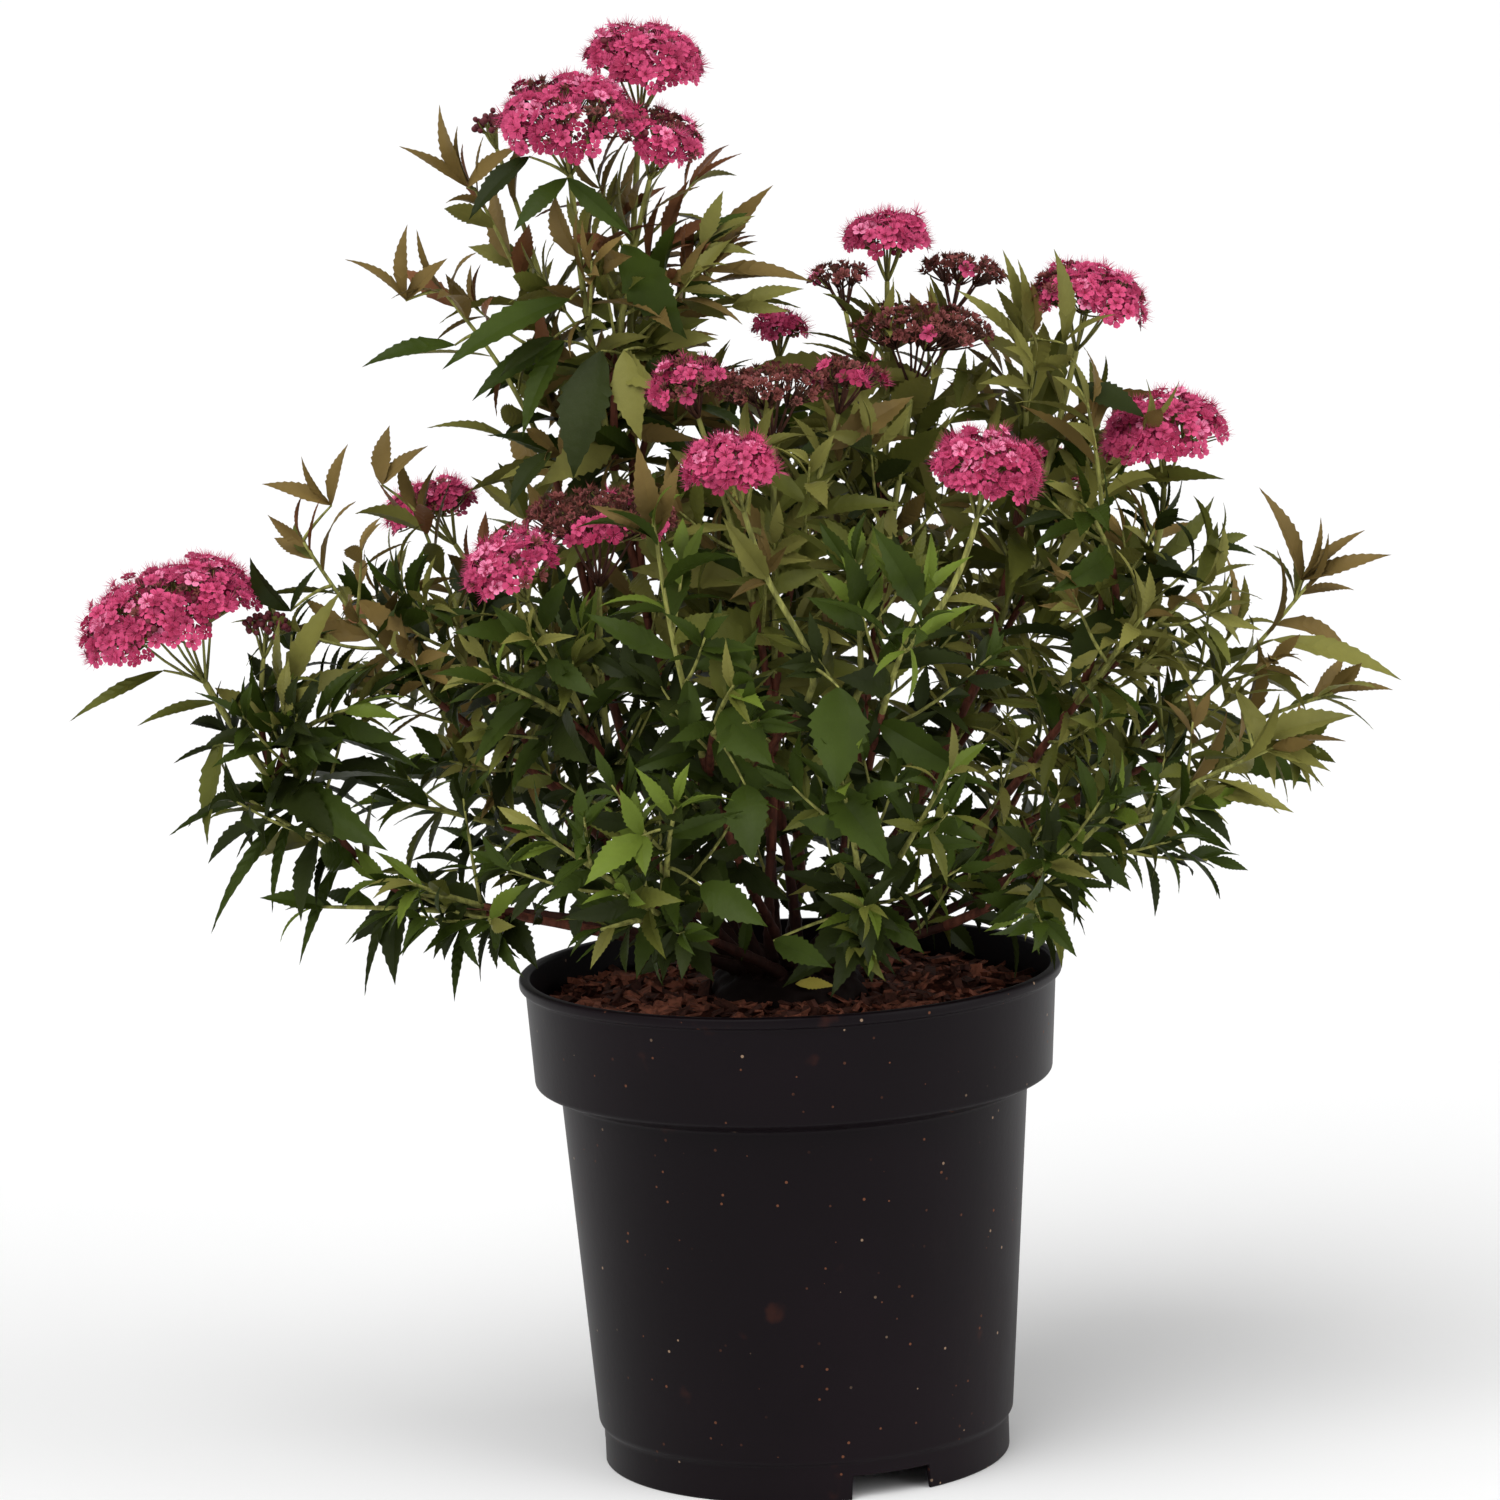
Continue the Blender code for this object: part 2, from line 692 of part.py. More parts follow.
class Shells:
    """Every closed shell placed so far, with what it belongs to and its box."""

    def __init__(self):
        self.trees = []
        self.groups = []
        self.lows = []
        self.highs = []

    def add(self, group, points, faces):
        points = np.array(points)
        self.trees.append(BVHTree.FromPolygons([tuple(p) for p in points], faces))
        self.groups.append(group)
        self.lows.append(points.min(axis=0))
        self.highs.append(points.max(axis=0))

    def touched(self, points, faces, skip):
        """Whether the shell crosses any shell whose group isn't skipped."""
        points = np.array(points)
        near = np.all(np.array(self.lows) <= points.max(axis=0), axis=1)
        near &= np.all(np.array(self.highs) >= points.min(axis=0), axis=1)
        found = [k for k in np.flatnonzero(near) if not skip(self.groups[k])]
        if not found:
            return False
        tree = BVHTree.FromPolygons([tuple(p) for p in points], faces)
        return any(tree.overlap(self.trees[k]) for k in found)


def above_skirt(place):
    """The crown's underside rises away from the pot."""
    out = math.hypot(place[0], place[1]) - SKIRT_RADIUS
    return place[2] > SKIRT_FOOT + SKIRT_SLOPE * max(0.0, out)


def leaf_length(share, kind):
    """Leaves are longest in the lower half of a twig, and shorten to its tip."""
    rise = (share - SHORTER_FROM) / (SHORTER_TO - SHORTER_FROM)
    scale = LEAF_TIP_SHARE if kind == "leafy" else SHOULDER_TIP_SHARE
    return LEAF_LENGTH * (1 - (1 - scale) * min(1.0, max(0.0, rise)))


class Grower:
    """Grows one mass: its leaders, side shoots, flower heads and leaves."""

    def __init__(self, index, leaders, space, shells):
        self.index = index
        self.mass = MASSES[index]
        self.leaders = leaders
        self.space = space
        self.shells = shells
        self.rng = random.Random(SEED * 100 + index)
        self.parts = []
        self.leaves = 0

    def keep(self, twig, points, faces):
        self.parts.append((points, faces))
        self.shells.add((self.index, twig), points, faces)

    def others(self, group):
        return group[0] == self.index

    def grow_leaders(self):
        """The leaders and the heads at their tips come before any leaf."""
        for k, (path, leader) in enumerate(zip(self.leaders, self.mass.leaders)):
            foot_radius = BOUGH_TIP_RADIUS if k == 0 else LEADER_FOOT_RADIUS
            shape = tube(path, foot_radius, TWIG_TIP_RADIUS, 3)
            self.keep(k, *shape)
            if leader.spread:
                axis = unit(tangents(path)[-1] + HEAD_UP * UP)
                head = flower_head(path[-1], axis, leader.spread, self.rng)
                if self.shells.touched(*head, self.others):
                    raise ValueError(f"{self.mass.name}: head {k} has no room")
                self.keep(k, *head)

    def grow_shoots(self):
        """Side shoots stand out all round the leaders, each with its own leaves."""
        twig = len(self.leaders)
        self.shoots = []
        for path in self.leaders:
            reach = path_length(path) * (SHOOT_TO - SHOOT_FROM)
            count = int(reach / SHOOT_PITCH)
            turn = self.rng.uniform(0, 2 * math.pi)
            for k in range(count):
                share = SHOOT_FROM + (SHOOT_TO - SHOOT_FROM) * (k + 0.5) / count
                point, way = at(path, share)
                out = self.turned_out(way, turn + k * GOLDEN_ANGLE)
                shoot_way = unit(out + SHOOT_LEAN * way)
                length = self.rng.uniform(*SHOOT_LENGTH)
                tip = point + length * unit(shoot_way + SHOOT_RISE * UP)
                route = smooth_path([point, tip], shoot_way, SHOOT_RINGS)
                shape = tube(route, SHOOT_RADIUS, TWIG_TIP_RADIUS, 3)
                if not self.space.holds(self.index, route[1:]):
                    continue
                if self.shells.touched(*shape, self.others):
                    continue
                self.keep(twig, *shape)
                self.shoots.append((twig, route))
                twig += 1

    def turned_out(self, way, angle):
        """The direction across a twig at this angle round it."""
        first = unit(np.cross(way, UP + np.array([0.17, 0.11, 0.0])))
        return math.cos(angle) * first + math.sin(angle) * np.cross(way, first)

    def try_leaf(self, twig, root, way, length, radius):
        """Places one leaf if it has room, turned a little or shorter where it must."""
        for share in SHARES_TRIED:
            for turn in TURNS_TRIED:
                trial = unit(self.about(way, math.radians(turn)))
                face = self.facing(root, trial)
                size = length * share
                start = root - trial * radius * LEAF_SUNK
                middle, tip = start + trial * size * 0.5, start + trial * size
                if not above_skirt(tip) or not self.space.holds(self.index, [middle, tip]):
                    continue
                shape = leaf(start, trial, face, size)
                guard = leaf(start, trial, face, size, GUARD)
                own_twig = (self.index, twig)
                if self.shells.touched(*guard, self.others):
                    continue
                if self.shells.touched(*shape, lambda group: group == own_twig):
                    continue
                self.keep((twig, self.leaves), *shape)
                self.leaves += 1
                return

    def facing(self, root, way):
        """A leaf turns its upper face up and out from the middle of the crown."""
        flat = np.array([root[0], root[1], 0.0])
        face = LEAF_UP * UP + flat / max(np.linalg.norm(flat), GAP)
        if abs(way.dot(unit(face))) > EDGE_ON:
            face = UP
        return face

    def about(self, way, angle):
        """The direction turned about the vertical."""
        c, s = math.cos(angle), math.sin(angle)
        return np.array([c * way[0] - s * way[1], s * way[0] + c * way[1], way[2]])

    def leaf_up(self, twig, path, foot_radius, kind):
        """Leaves along one twig at the golden angle, then a tuft round a bare tip."""
        length = path_length(path)
        turn = self.rng.uniform(0, 2 * math.pi)
        count = max(1, int(length * (1 - LEAF_FROM) / LEAF_PITCH))
        for k in range(count):
            share = LEAF_FROM + (1 - LEAF_FROM) * (k + 0.5) / count
            root, way = at(path, share)
            out = self.turned_out(way, turn + k * GOLDEN_ANGLE)
            lean = math.cos(LEAF_LEAN) * out + math.sin(LEAF_LEAN) * way
            lean = unit(lean - UP * LEAF_DROOP * self.rng.uniform(*DROOP_VARIES))
            size = leaf_length(share, kind) * self.rng.uniform(*SIZE_VARIES)
            radius = foot_radius + share * (TWIG_TIP_RADIUS - foot_radius)
            self.try_leaf(twig, root, lean, size, radius)
        if kind != "leafy":
            return
        for k in range(TUFT_LEAVES):
            root, way = at(path, 1 - (k + 0.5) * TUFT_STEP / length)
            out = self.turned_out(way, turn + k * 2 * math.pi / TUFT_LEAVES)
            lean = unit(math.cos(TUFT_SPREAD) * way + math.sin(TUFT_SPREAD) * out)
            size = leaf_length(1.0, kind) * self.rng.uniform(*TUFT_SIZE_VARIES)
            self.try_leaf(twig, root, lean, size, TWIG_TIP_RADIUS)

    def grow_leaves(self):
        for k, (path, leader) in enumerate(zip(self.leaders, self.mass.leaders)):
            foot_radius = BOUGH_TIP_RADIUS if k == 0 else LEADER_FOOT_RADIUS
            self.leaf_up(k, path, foot_radius, leader.kind)
        for twig, route in self.shoots:
            self.leaf_up(twig, route, SHOOT_RADIUS, "leafy")


def largest_body(mesh):
    """Keeps the mesh's largest closed shell, and drops scraps and sealed hollows."""
    shape = bmesh.new()
    shape.from_mesh(mesh)
    bmesh.ops.triangulate(shape, faces=shape.faces)
    shape.faces.ensure_lookup_table()
    seen = set()
    bodies = []
    for face in shape.faces:
        if face.index in seen:
            continue
        body, waiting = [], [face]
        seen.add(face.index)
        while waiting:
            here = waiting.pop()
            body.append(here)
            for edge in here.edges:
                for neighbour in edge.link_faces:
                    if neighbour.index not in seen:
                        seen.add(neighbour.index)
                        waiting.append(neighbour)
        bodies.append(body)
    bodies.sort(key=len, reverse=True)
    scraps = [face for body in bodies[1:] for face in body]
    bmesh.ops.delete(shape, geom=scraps, context="FACES")
    open_edges = sum(not edge.is_manifold for edge in shape.edges)
    shape.to_mesh(mesh)
    shape.free()
    return open_edges == 0


def fuse(name, parts, finish):
    """One Boolean union on a collection joins the parts into one closed solid."""
    for solver in ("EXACT", "MANIFOLD"):
        others = bpy.data.collections.new(f"{name} parts")
        bpy.context.scene.collection.children.link(others)
        for points, faces in parts[1:]:
            add_object(f"{name} part", points, faces, finish, others)
        stem = add_object(f"{name} stem", *parts[0], finish)
        join = stem.modifiers.new("join", "BOOLEAN")
        join.operation = "UNION"
        join.solver = solver
        join.operand_type = "COLLECTION"
        join.collection = others
        bpy.context.view_layer.update()
        graph = bpy.context.evaluated_depsgraph_get()
        mesh = bpy.data.meshes.new_from_object(stem.evaluated_get(graph))
        for thing in [stem, *others.objects]:
            bpy.data.objects.remove(thing)
        bpy.data.collections.remove(others)
        if largest_body(mesh):
            mesh.name = name
            thing = bpy.data.objects.new(name, mesh)
            bpy.context.scene.collection.objects.link(thing)
            return thing
    raise ValueError(f"{name} doesn't fuse into one closed solid")


def solid_shape(thing):
    """The object's points and faces as its modifiers leave them."""
    bpy.context.view_layer.update()
    graph = bpy.context.evaluated_depsgraph_get()
    mesh = thing.evaluated_get(graph).to_mesh()
    points = [tuple(v.co) for v in mesh.vertices]
    faces = [tuple(p.vertices) for p in mesh.polygons]
    return points, faces


def main():
    clear_scene()
    plastic = material("black plastic", (0.014, 0.012, 0.013), 0.45)
    compost = material("bark compost", (0.030, 0.013, 0.010), 0.95)
    bark = material("red-brown bark", (0.120, 0.050, 0.030), 0.75)
    leaf_green = material("leaf green", (0.046, 0.072, 0.014), 0.55)

    shells = Shells()
    for thing in (make_pot(plastic), make_soil(compost), make_root_crown(bark)):
        shells.add(("base", thing.name), *solid_shape(thing))

    boughs = bough_paths()
    for mass in MASSES:
        shape = tube(
            boughs[mass.name], BOUGH_FOOT_RADIUS, BOUGH_TIP_RADIUS, BOUGH_SIDES, True
        )
        add_object(f"bough_{mass.name}", *shape, bark)
        shells.add(("bough", mass.name), *shape)

    leaders = leader_paths(boughs)
    space = Space(leaders)
    growers = [
        Grower(index, leaders[mass.name], space, shells)
        for index, mass in enumerate(MASSES)
    ]
    for grower in growers:
        grower.grow_leaders()
    for grower in growers:
        grower.grow_shoots()
    for grower in growers:
        grower.grow_leaves()
    for grower in growers:
        fuse(f"foliage_{grower.mass.name}", grower.parts, leaf_green)


main()
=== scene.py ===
"""Dresses the spirea shrub and its nursery pot for rendering.

Metres, +Z up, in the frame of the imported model. Twigs, leaves and flower heads grow
from the same table of tips as the model's solids, by the same rule, at life size.
"""

from collections import namedtuple
from functools import lru_cache
from math import asin, atan2, cos, hypot, pi, radians, sin, tau

import bpy
import numpy as np
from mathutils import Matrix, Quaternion, Vector


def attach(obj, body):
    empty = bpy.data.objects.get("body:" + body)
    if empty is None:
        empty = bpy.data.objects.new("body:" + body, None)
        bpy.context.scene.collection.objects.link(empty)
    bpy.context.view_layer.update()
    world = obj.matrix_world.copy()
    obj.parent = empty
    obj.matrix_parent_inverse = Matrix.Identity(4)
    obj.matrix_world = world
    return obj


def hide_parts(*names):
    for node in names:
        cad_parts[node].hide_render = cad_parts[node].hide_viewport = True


bl_info = {
    "name": "Potted spirea shrub",
    "version": (1, 0, 0),
    "blender": (4, 5, 0),
    "location": "3D View > Sidebar > Spirea",
    "description": "Pot, soil, boughs, twigs, leaves and flower heads of a potted spirea shrub",
    "category": "Add Mesh",
}

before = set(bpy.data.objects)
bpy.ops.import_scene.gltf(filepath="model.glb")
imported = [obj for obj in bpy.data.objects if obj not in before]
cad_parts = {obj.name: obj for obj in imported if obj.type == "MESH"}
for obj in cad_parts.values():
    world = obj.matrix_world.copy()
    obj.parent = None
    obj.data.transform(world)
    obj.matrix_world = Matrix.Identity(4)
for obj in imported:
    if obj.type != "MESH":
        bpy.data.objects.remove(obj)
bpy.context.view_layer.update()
BODY = "root"

UP = np.array([0.0, 0.0, 1.0])
SIDEWAYS = np.array([1.0, 0.0, 0.0])
GOLDEN_ANGLE = radians(137.5)
GAP = 0.0003
SEED = 41

# Pot, as in the model
POT_HEIGHT, POT_WALL, RIM_HEIGHT = 0.206, 0.002, 0.005
COLLAR_TOP_RADIUS, COLLAR_FOOT_RADIUS, COLLAR_FOOT = 0.110, 0.1075, 0.161
BODY_TOP_RADIUS, BODY_TOP = 0.097, 0.1565
BODY_FOOT_RADIUS, BODY_FOOT = 0.0867, 0.017
FOOT_RADIUS, FOOT_TOP, FLOOR_UNDERSIDE = 0.0847, 0.015, 0.011
BOSS_RADIUS, BOSS_SLOPE = 0.036, 0.003
NOTCHES, NOTCH_WIDTH, NOTCH_FROM_FRONT = 3, 0.035, radians(24)

# Root crown, boughs and leaders, as in the model
SOIL_TOP, SOIL_EDGE_DROP, CROWN_HEIGHT = 0.194, 0.003, 0.012
INNER_RING, OUTER_RING, INNER_COUNT = 0.012, 0.0215, 9
BOUGH_RINGS, BOUGH_FOOT_RADIUS, BOUGH_TIP_RADIUS = 5, 0.0026, 0.0017
LEADER_RINGS, LEADER_FOOT_RADIUS, TWIG_TIP_RADIUS, HEAD_STEM_SHARE = 5, 0.0015, 0.0006, 0.009
SWING_STEP, SWING_TRIES, LIMB_CLEARANCE = 0.006, 13, 0.0012
FORK_FROM, FORK_TO, FORK_BEND = 0.24, 0.58, 0.6
CURVE_SAMPLES, CHORD_POINTS = 24, 10
TUFT_REACH, HEAD_UP = 0.026, 0.8

Leader = namedtuple("Leader", "tip tint bushy spread fade lean via")
Mass = namedtuple("Mass", "name start leaders via")


def twig(x, y, z, tint="olive", bushy=1.0, spread=0, fade=0.0, lean=(0.0, 0.0), via=()):
    """A leader, a twig to one tip, in millimetres: where its flower head or its last
    leaf is, the tint of its young leaves, how bushy it is, 1 for most and below 0 for a
    bare one, the spread of its head, 0 where it has none, the share of the head that has
    faded, below 0 for one in bud, how the head leans to the right and to the back, and
    the points that the twig passes through."""
    tip = np.array([x, y, z]) / 1000
    return Leader(tip, tint, bushy, spread / 1000, fade, lean, np.array(via) / 1000)


def mass_at(name, start, leaders, via=()):
    """A mass of foliage, in millimetres, named after its place. It starts where its
    bough ends, and the bough may pass through other points."""
    return Mass(name, np.array(start) / 1000, leaders, np.array(via) / 1000)


MASSES = (
    mass_at("tall_crown", (-38, 6, 288), (
        twig(-78, -15, 561, "bronze", 0.8, 60, 0.3, (0, -0.55), [(-69, 0, 444)]),
        twig(-46, 10, 581, "bronze", 0.8, 52, 0.03, (0.1, -0.45)),
        twig(-7, 22, 519, "bronze"),
        twig(-40, -12, 551, "bronze", 1, 40, 0.32, (0.4, -0.6)),
        twig(-28, 2, 526, "bronze"),
        twig(-20, -26, 472),
    )),
    mass_at("tall_left", (-62, 14, 286), (
        twig(-129, 10, 557, "bronze", 0.5, 0, 0, (0, 0), [(-80, 12, 438)]),
        twig(-147, -12, 512, "bronze", 0.2, 0, 0, (0, 0), [(-98, 4, 440)]),
        twig(-111, 26, 556, "bronze", 0.2, 18, -1, (0, 0), [(-82, 20, 450)]),
    )),
    mass_at("mid_left", (-66, 2, 250), (
        twig(-155, 12, 425, "bronze"),
        twig(-205, -12, 414, "bronze", 1.4, 0, 0, (0, 0), [(-152, -22, 334)]),
        twig(-168, -34, 392, "mid", 1.8),
    )),
    mass_at("left_arch", (-119, -12, 236), (
        twig(-247, -30, 366, "mid", -0.1, 78, 0.06, (-0.15, -0.1), [(-154, -30, 246), (-204, -30, 290)]),
        twig(-238, -34, 304, "olive", 0),
        twig(-215, -46, 350, "mid", 1.8),
        twig(-186, -52, 338, "mid", 1.8),
        twig(-150, -62, 334, "mid", 1.6),
        twig(-196, -60, 300, "mid"),
        twig(-207, -30, 359, "olive", -0.6, 24, -1),
    ), [(-70, -8, 226)]),
    mass_at("left_low", (-74, -30, 228), (
        twig(-218, -40, 246, "mid", 0.3),
        twig(-172, -74, 268, "mid", 1.7),
        twig(-112, -86, 238, "mid", 1.2),
    )),
    mass_at("front_left", (-44, -34, 244), (
        twig(-69, -62, 402, "mid", 1, 66, 0.88),
        twig(-105, -90, 388, "mid", 1, 42, 0.12, (-0.3, -0.1)),
        twig(-130, -118, 352, "mid", 1.5),
    )),
    mass_at("front_centre", (-14, -46, 246), (
        twig(-49, -110, 432, "mid", 1, 0, 0, (0, 0), [(-42, -112, 360)]),
        twig(-16, -120, 427, "olive", -0.3, 41, 0, (0.1, -0.4),
             [(14, -114, 334), (1, -118, 372), (-12, -119, 404)]),
        twig(-10, -158, 356, "mid"),
    )),
    mass_at("top_centre", (-6, -18, 258), (
        twig(1, -42, 450, "olive", 1, 52, 1),
        twig(-33, -52, 455, "olive", 1, 35, 0.5, (-0.2, -0.4)),
        twig(33, -34, 453, "olive", 1, 34, 0.75),
    )),
    mass_at("back_top", (-1, 28, 258), (
        twig(6, 60, 466, "olive", 1, 26, 0.15),
        twig(-34, 90, 452, "mid"),
        twig(26, 104, 436, "mid"),
    )),
    mass_at("top_right", (26, 4, 264), (
        twig(63, 6, 468, "olive", 1, 62, 1),
        twig(82, 44, 488, "olive", 1, 40, 1),
        twig(51, 32, 504, "olive", 1, 40, 0.05, (0.05, -0.2)),
        twig(30, 20, 489, "olive", 1, 29, 0.9),
    )),
    mass_at("right_upper", (50, 20, 262), (
        twig(133, 24, 477, "olive", 1, 54, 0.2, (0.15, -0.1)),
        twig(160, 72, 430),
        twig(112, 60, 472, "olive", 1, 20, 0.3),
        twig(104, 16, 492),
    )),
    mass_at("front_right", (28, -44, 245), (
        twig(85, -108, 422, "olive", -0.3, 47, 0, (0.1, -0.7),
             [(30, -112, 336), (56, -114, 357), (74, -113, 385)]),
        twig(66, -150, 400, "lime"),
        twig(30, -96, 412, "mid"),
    )),
    mass_at("right_mid", (64, -8, 246), (
        twig(160, -12, 424, "olive", 1, 55, 0, (-0.3, -0.22), [(152, -12, 366)]),
        twig(158, -76, 372),
        twig(196, -40, 382),
        twig(124, -36, 463),
        twig(112, -72, 418, "mid"),
    )),
    mass_at("right_far", (78, 18, 240), (
        twig(236, 20, 375, "olive", 0.7, 0, 0, (0, 0), [(190, 12, 322)]),
        twig(254, 0, 320, "olive", 0.6),
        twig(208, 62, 352),
    )),
    mass_at("right_low", (82, -20, 238), (
        twig(229, -40, 307, "olive", 0.7, 0, 0, (0, 0), [(168, -36, 283)]),
        twig(188, -70, 286, "mid"),
    )),
    mass_at("right_bottom", (64, -42, 228), (
        twig(146, -108, 300, "mid"),
        twig(140, -60, 250, "mid"),
        twig(100, -134, 272, "mid"),
        twig(82, -114, 236, "mid", 0.8),
    )),
    mass_at("front_low_left", (-30, -58, 228), (
        twig(-72, -150, 271, "lime"),
        twig(-116, -116, 300, "mid"),
        twig(-36, -148, 318, "lime"),
        twig(-98, -120, 238, "mid", 1.2),
    )),
    mass_at("front_low_right", (22, -60, 228), (
        twig(30, -146, 258, "mid"),
        twig(76, -140, 326, "mid"),
        twig(18, -152, 330, "mid"),
    )),
    mass_at("back_left", (-46, 36, 244), (
        twig(-146, 98, 392, "olive", 1, 44, 0.1),
        twig(-112, 130, 410),
        twig(-206, 76, 352, "bronze"),
    )),
    mass_at("back_centre", (-6, 50, 246), (
        twig(-38, 142, 386, "olive", 1, 50, 0.9),
        twig(22, 156, 374, "olive", 1, 40, 0.05),
        twig(-82, 176, 352),
    )),
    mass_at("back_right", (42, 44, 244), (
        twig(116, 128, 394, "olive", 1, 46, 0.1),
        twig(182, 118, 380),
        twig(70, 166, 384, "bronze"),
    )),
    mass_at("back_low_left", (-52, 50, 228), (
        twig(-168, 108, 292, "mid"),
        twig(-108, 168, 286, "mid"),
        twig(-186, 38, 280, "mid"),
    )),
    mass_at("back_low_middle", (6, 68, 228), (
        twig(-34, 194, 286, "mid"),
        twig(42, 198, 300, "lime"),
    )),
    mass_at("back_low_right", (58, 46, 228), (
        twig(174, 96, 300, "mid"),
        twig(118, 166, 300, "mid"),
        twig(158, 52, 276, "mid"),
    )),
)

# Leaves that stand out, in millimetres: where their sprig ends, their tint, and each
# leaf's tip with its width as a percentage of its length.
SPRIGS = (
    (-250, -30, 343, "moss", (-289, -34, 324, 15)),
    (-229, -30, 329, "moss", (-261, -40, 322, 17)),
    (-227, -32, 316, "moss", (-235, -40, 272, 26)),
    (-200, -28, 284, "mid", (-235, -44, 236, 13), (-210, -40, 243, 14)),
    (-204, -30, 294, "mid", (-160, -64, 271, 30)),
    (-180, -26, 266, "mid", (-200, -40, 221, 12)),
    (-157, -26, 253, "dark", (-161, -44, 212, 33), (-174, -40, 207, 12)),
    (-132, -30, 236, "mid", (-137, -48, 205, 15)),
    (-197, -34, 366, "dark", (-212, -38, 389, 50), (-184, -40, 385, 20)),
    (-201, -36, 330, "olive", (-175, -44, 375, 25), (-200, -52, 366, 20), (-168, -40, 342, 26)),
    (-180, -12, 406, "bronze", (-208, -14, 416, 26), (-172, -12, 431, 30), (-191, -16, 427, 22)),
    (-160, 4, 412, "bronze", (-156, 8, 436, 40), (-140, -2, 428, 30)),
    (-93, -20, 545, "dark", (-118, -32, 521, 30)),
    (-78, -22, 536, "mid", (-100, -34, 516, 30), (-52, -30, 512, 26)),
    (-79, -20, 487, "mid", (-131, -40, 462, 24)),
    (-86, -22, 472, "dark", (-108, -36, 458, 30)),
    (-89, -30, 426, "dark", (-106, -46, 406, 34)),
    (-58, -28, 466, "olive", (-52, -42, 430, 36)),
    (-14, 0, 480, "olive", (16, 2, 486, 24), (10, -12, 478, 22)),
    (-120, 10, 532, "bronze", (-130, 12, 566, 27), (-147, 6, 550, 30), (-97, -6, 549, 24)),
    (-146, -8, 488, "bronze", (-170, -12, 506, 27), (-144, -8, 519, 24), (-128, -14, 505, 32)),
    (-127, -6, 469, "mid", (-165, -14, 462, 24)),
    (-107, 0, 429, "olive", (-140, -10, 436, 20)),
    (-57, -20, 508, "mid", (-32, -34, 470, 42)),
    (-67, -24, 466, "dark", (-80, -40, 416, 42)),
    (-82, -18, 470, "mid", (-120, -30, 448, 24), (-100, -36, 433, 24)),
    (-24, 10, 494, "bronze", (5, 16, 528, 32), (-20, -4, 521, 34), (20, 8, 488, 20)),
    (-40, -6, 506, "rust", (-29, -10, 533, 30), (-16, -12, 518, 24)),
    (106, 16, 458, "olive", (98, 20, 498, 21), (78, 10, 483, 20), (104, 18, 494, 24)),
    (121, 0, 460, "olive", (118, -2, 499, 25), (142, -10, 472, 26)),
    (145, -14, 405, "moss", (184, -20, 404, 24)),
    (125, -20, 444, "dark", (152, -32, 431, 42)),
    (204, 6, 334, "olive", (256, 0, 316, 20)),
    (217, 16, 357, "bronze", (200, 10, 397, 25), (225, 8, 384, 20), (244, 16, 377, 23), (254, 10, 367, 23)),
    (192, -34, 298, "olive", (232, -46, 309, 34), (222, -44, 286, 26)),
    (171, -40, 280, "olive", (206, -52, 271, 32)),
    (186, -20, 317, "olive", (200, -34, 278, 24)),
    (155, -30, 268, "mid", (181, -40, 254, 28)),
    (23, -130, 340, "mid", (20, -153, 302, 52)),
    (-23, -120, 331, "mid", (-3, -150, 312, 48)),
    (-15, -124, 302, "mid", (-13, -146, 274, 48)),
    (18, -124, 300, "mid", (41, -146, 270, 40)),
    (-34, -120, 262, "mid", (-8, -140, 248, 40)),
    (29, -110, 250, "dark", (32, -128, 222, 46)),
    (-6, -110, 237, "mid", (17, -126, 228, 38)),
    (-56, -128, 284, "fresh", (-79, -146, 268, 36), (-55, -142, 270, 44), (-64, -134, 304, 34)),
    (-46, -108, 400, "bronze", (-52, -114, 437, 27), (-72, -118, 414, 22), (-35, -116, 430, 25)),
)


# Directions and curves


def unit(vector):
    """The vector, or each row of an array of them, at length one."""
    return vector / np.linalg.norm(vector, axis=-1, keepdims=True)


def circle(count):
    """Angles evenly round a circle."""
    return np.arange(count) * (tau / count)


def polar(radius, angle, *height):
    """Points at a radius and an angle round Z, flat or at a height."""
    parts = np.broadcast_arrays(radius * np.cos(angle), radius * np.sin(angle), *height)
    return np.stack(parts, -1)


def between(first, last, share):
    """The first value where the share is 0, and the last where it is 1."""
    return first + (last - first) * share


def bent(a, b, c, t):
    """A quadratic curve: (1-t)^2 * a + 2t(1-t) * b + t^2 * c."""
    return (1 - t) ** 2 * a + 2 * t * (1 - t) * b + t**2 * c


def steps(path):
    """The lengths of the path's straight pieces."""
    return np.linalg.norm(np.diff(path, axis=0), axis=1)


def evenly(path, count):
    """The path again with a number of points, spaced evenly along it."""
    along = np.concatenate([[0.0], np.cumsum(steps(path))])
    wanted = np.linspace(0, along[-1], count)
    return np.stack([np.interp(wanted, along, path[:, k]) for k in range(3)], axis=1)


def smooth_path(points, first_way, rings):
    """A curve through the points that leaves the first one along first_way: cubic
    pieces whose slopes follow the neighbouring points, spaced evenly along it."""
    points = np.array(points, float)
    chords = steps(points)[:, None]
    slopes = np.empty_like(points)
    slopes[1:-1] = (points[2:] - points[:-2]) / (chords[1:] + chords[:-1])
    slopes[0] = unit(first_way)
    slopes[-1] = 1.5 * (points[-1] - points[-2]) / chords[-1] - 0.5 * slopes[-2]
    t = np.linspace(0, 1, CURVE_SAMPLES)[:, None]
    chord = chords[:, None]
    curve = (
        (2 * t**3 - 3 * t**2 + 1) * points[:-1, None]
        + (t**3 - 2 * t**2 + t) * slopes[:-1, None] * chord
        + (3 * t**2 - 2 * t**3) * points[1:, None]
        + (t**3 - t**2) * slopes[1:, None] * chord
    )
    return evenly(curve.reshape(-1, 3), rings)


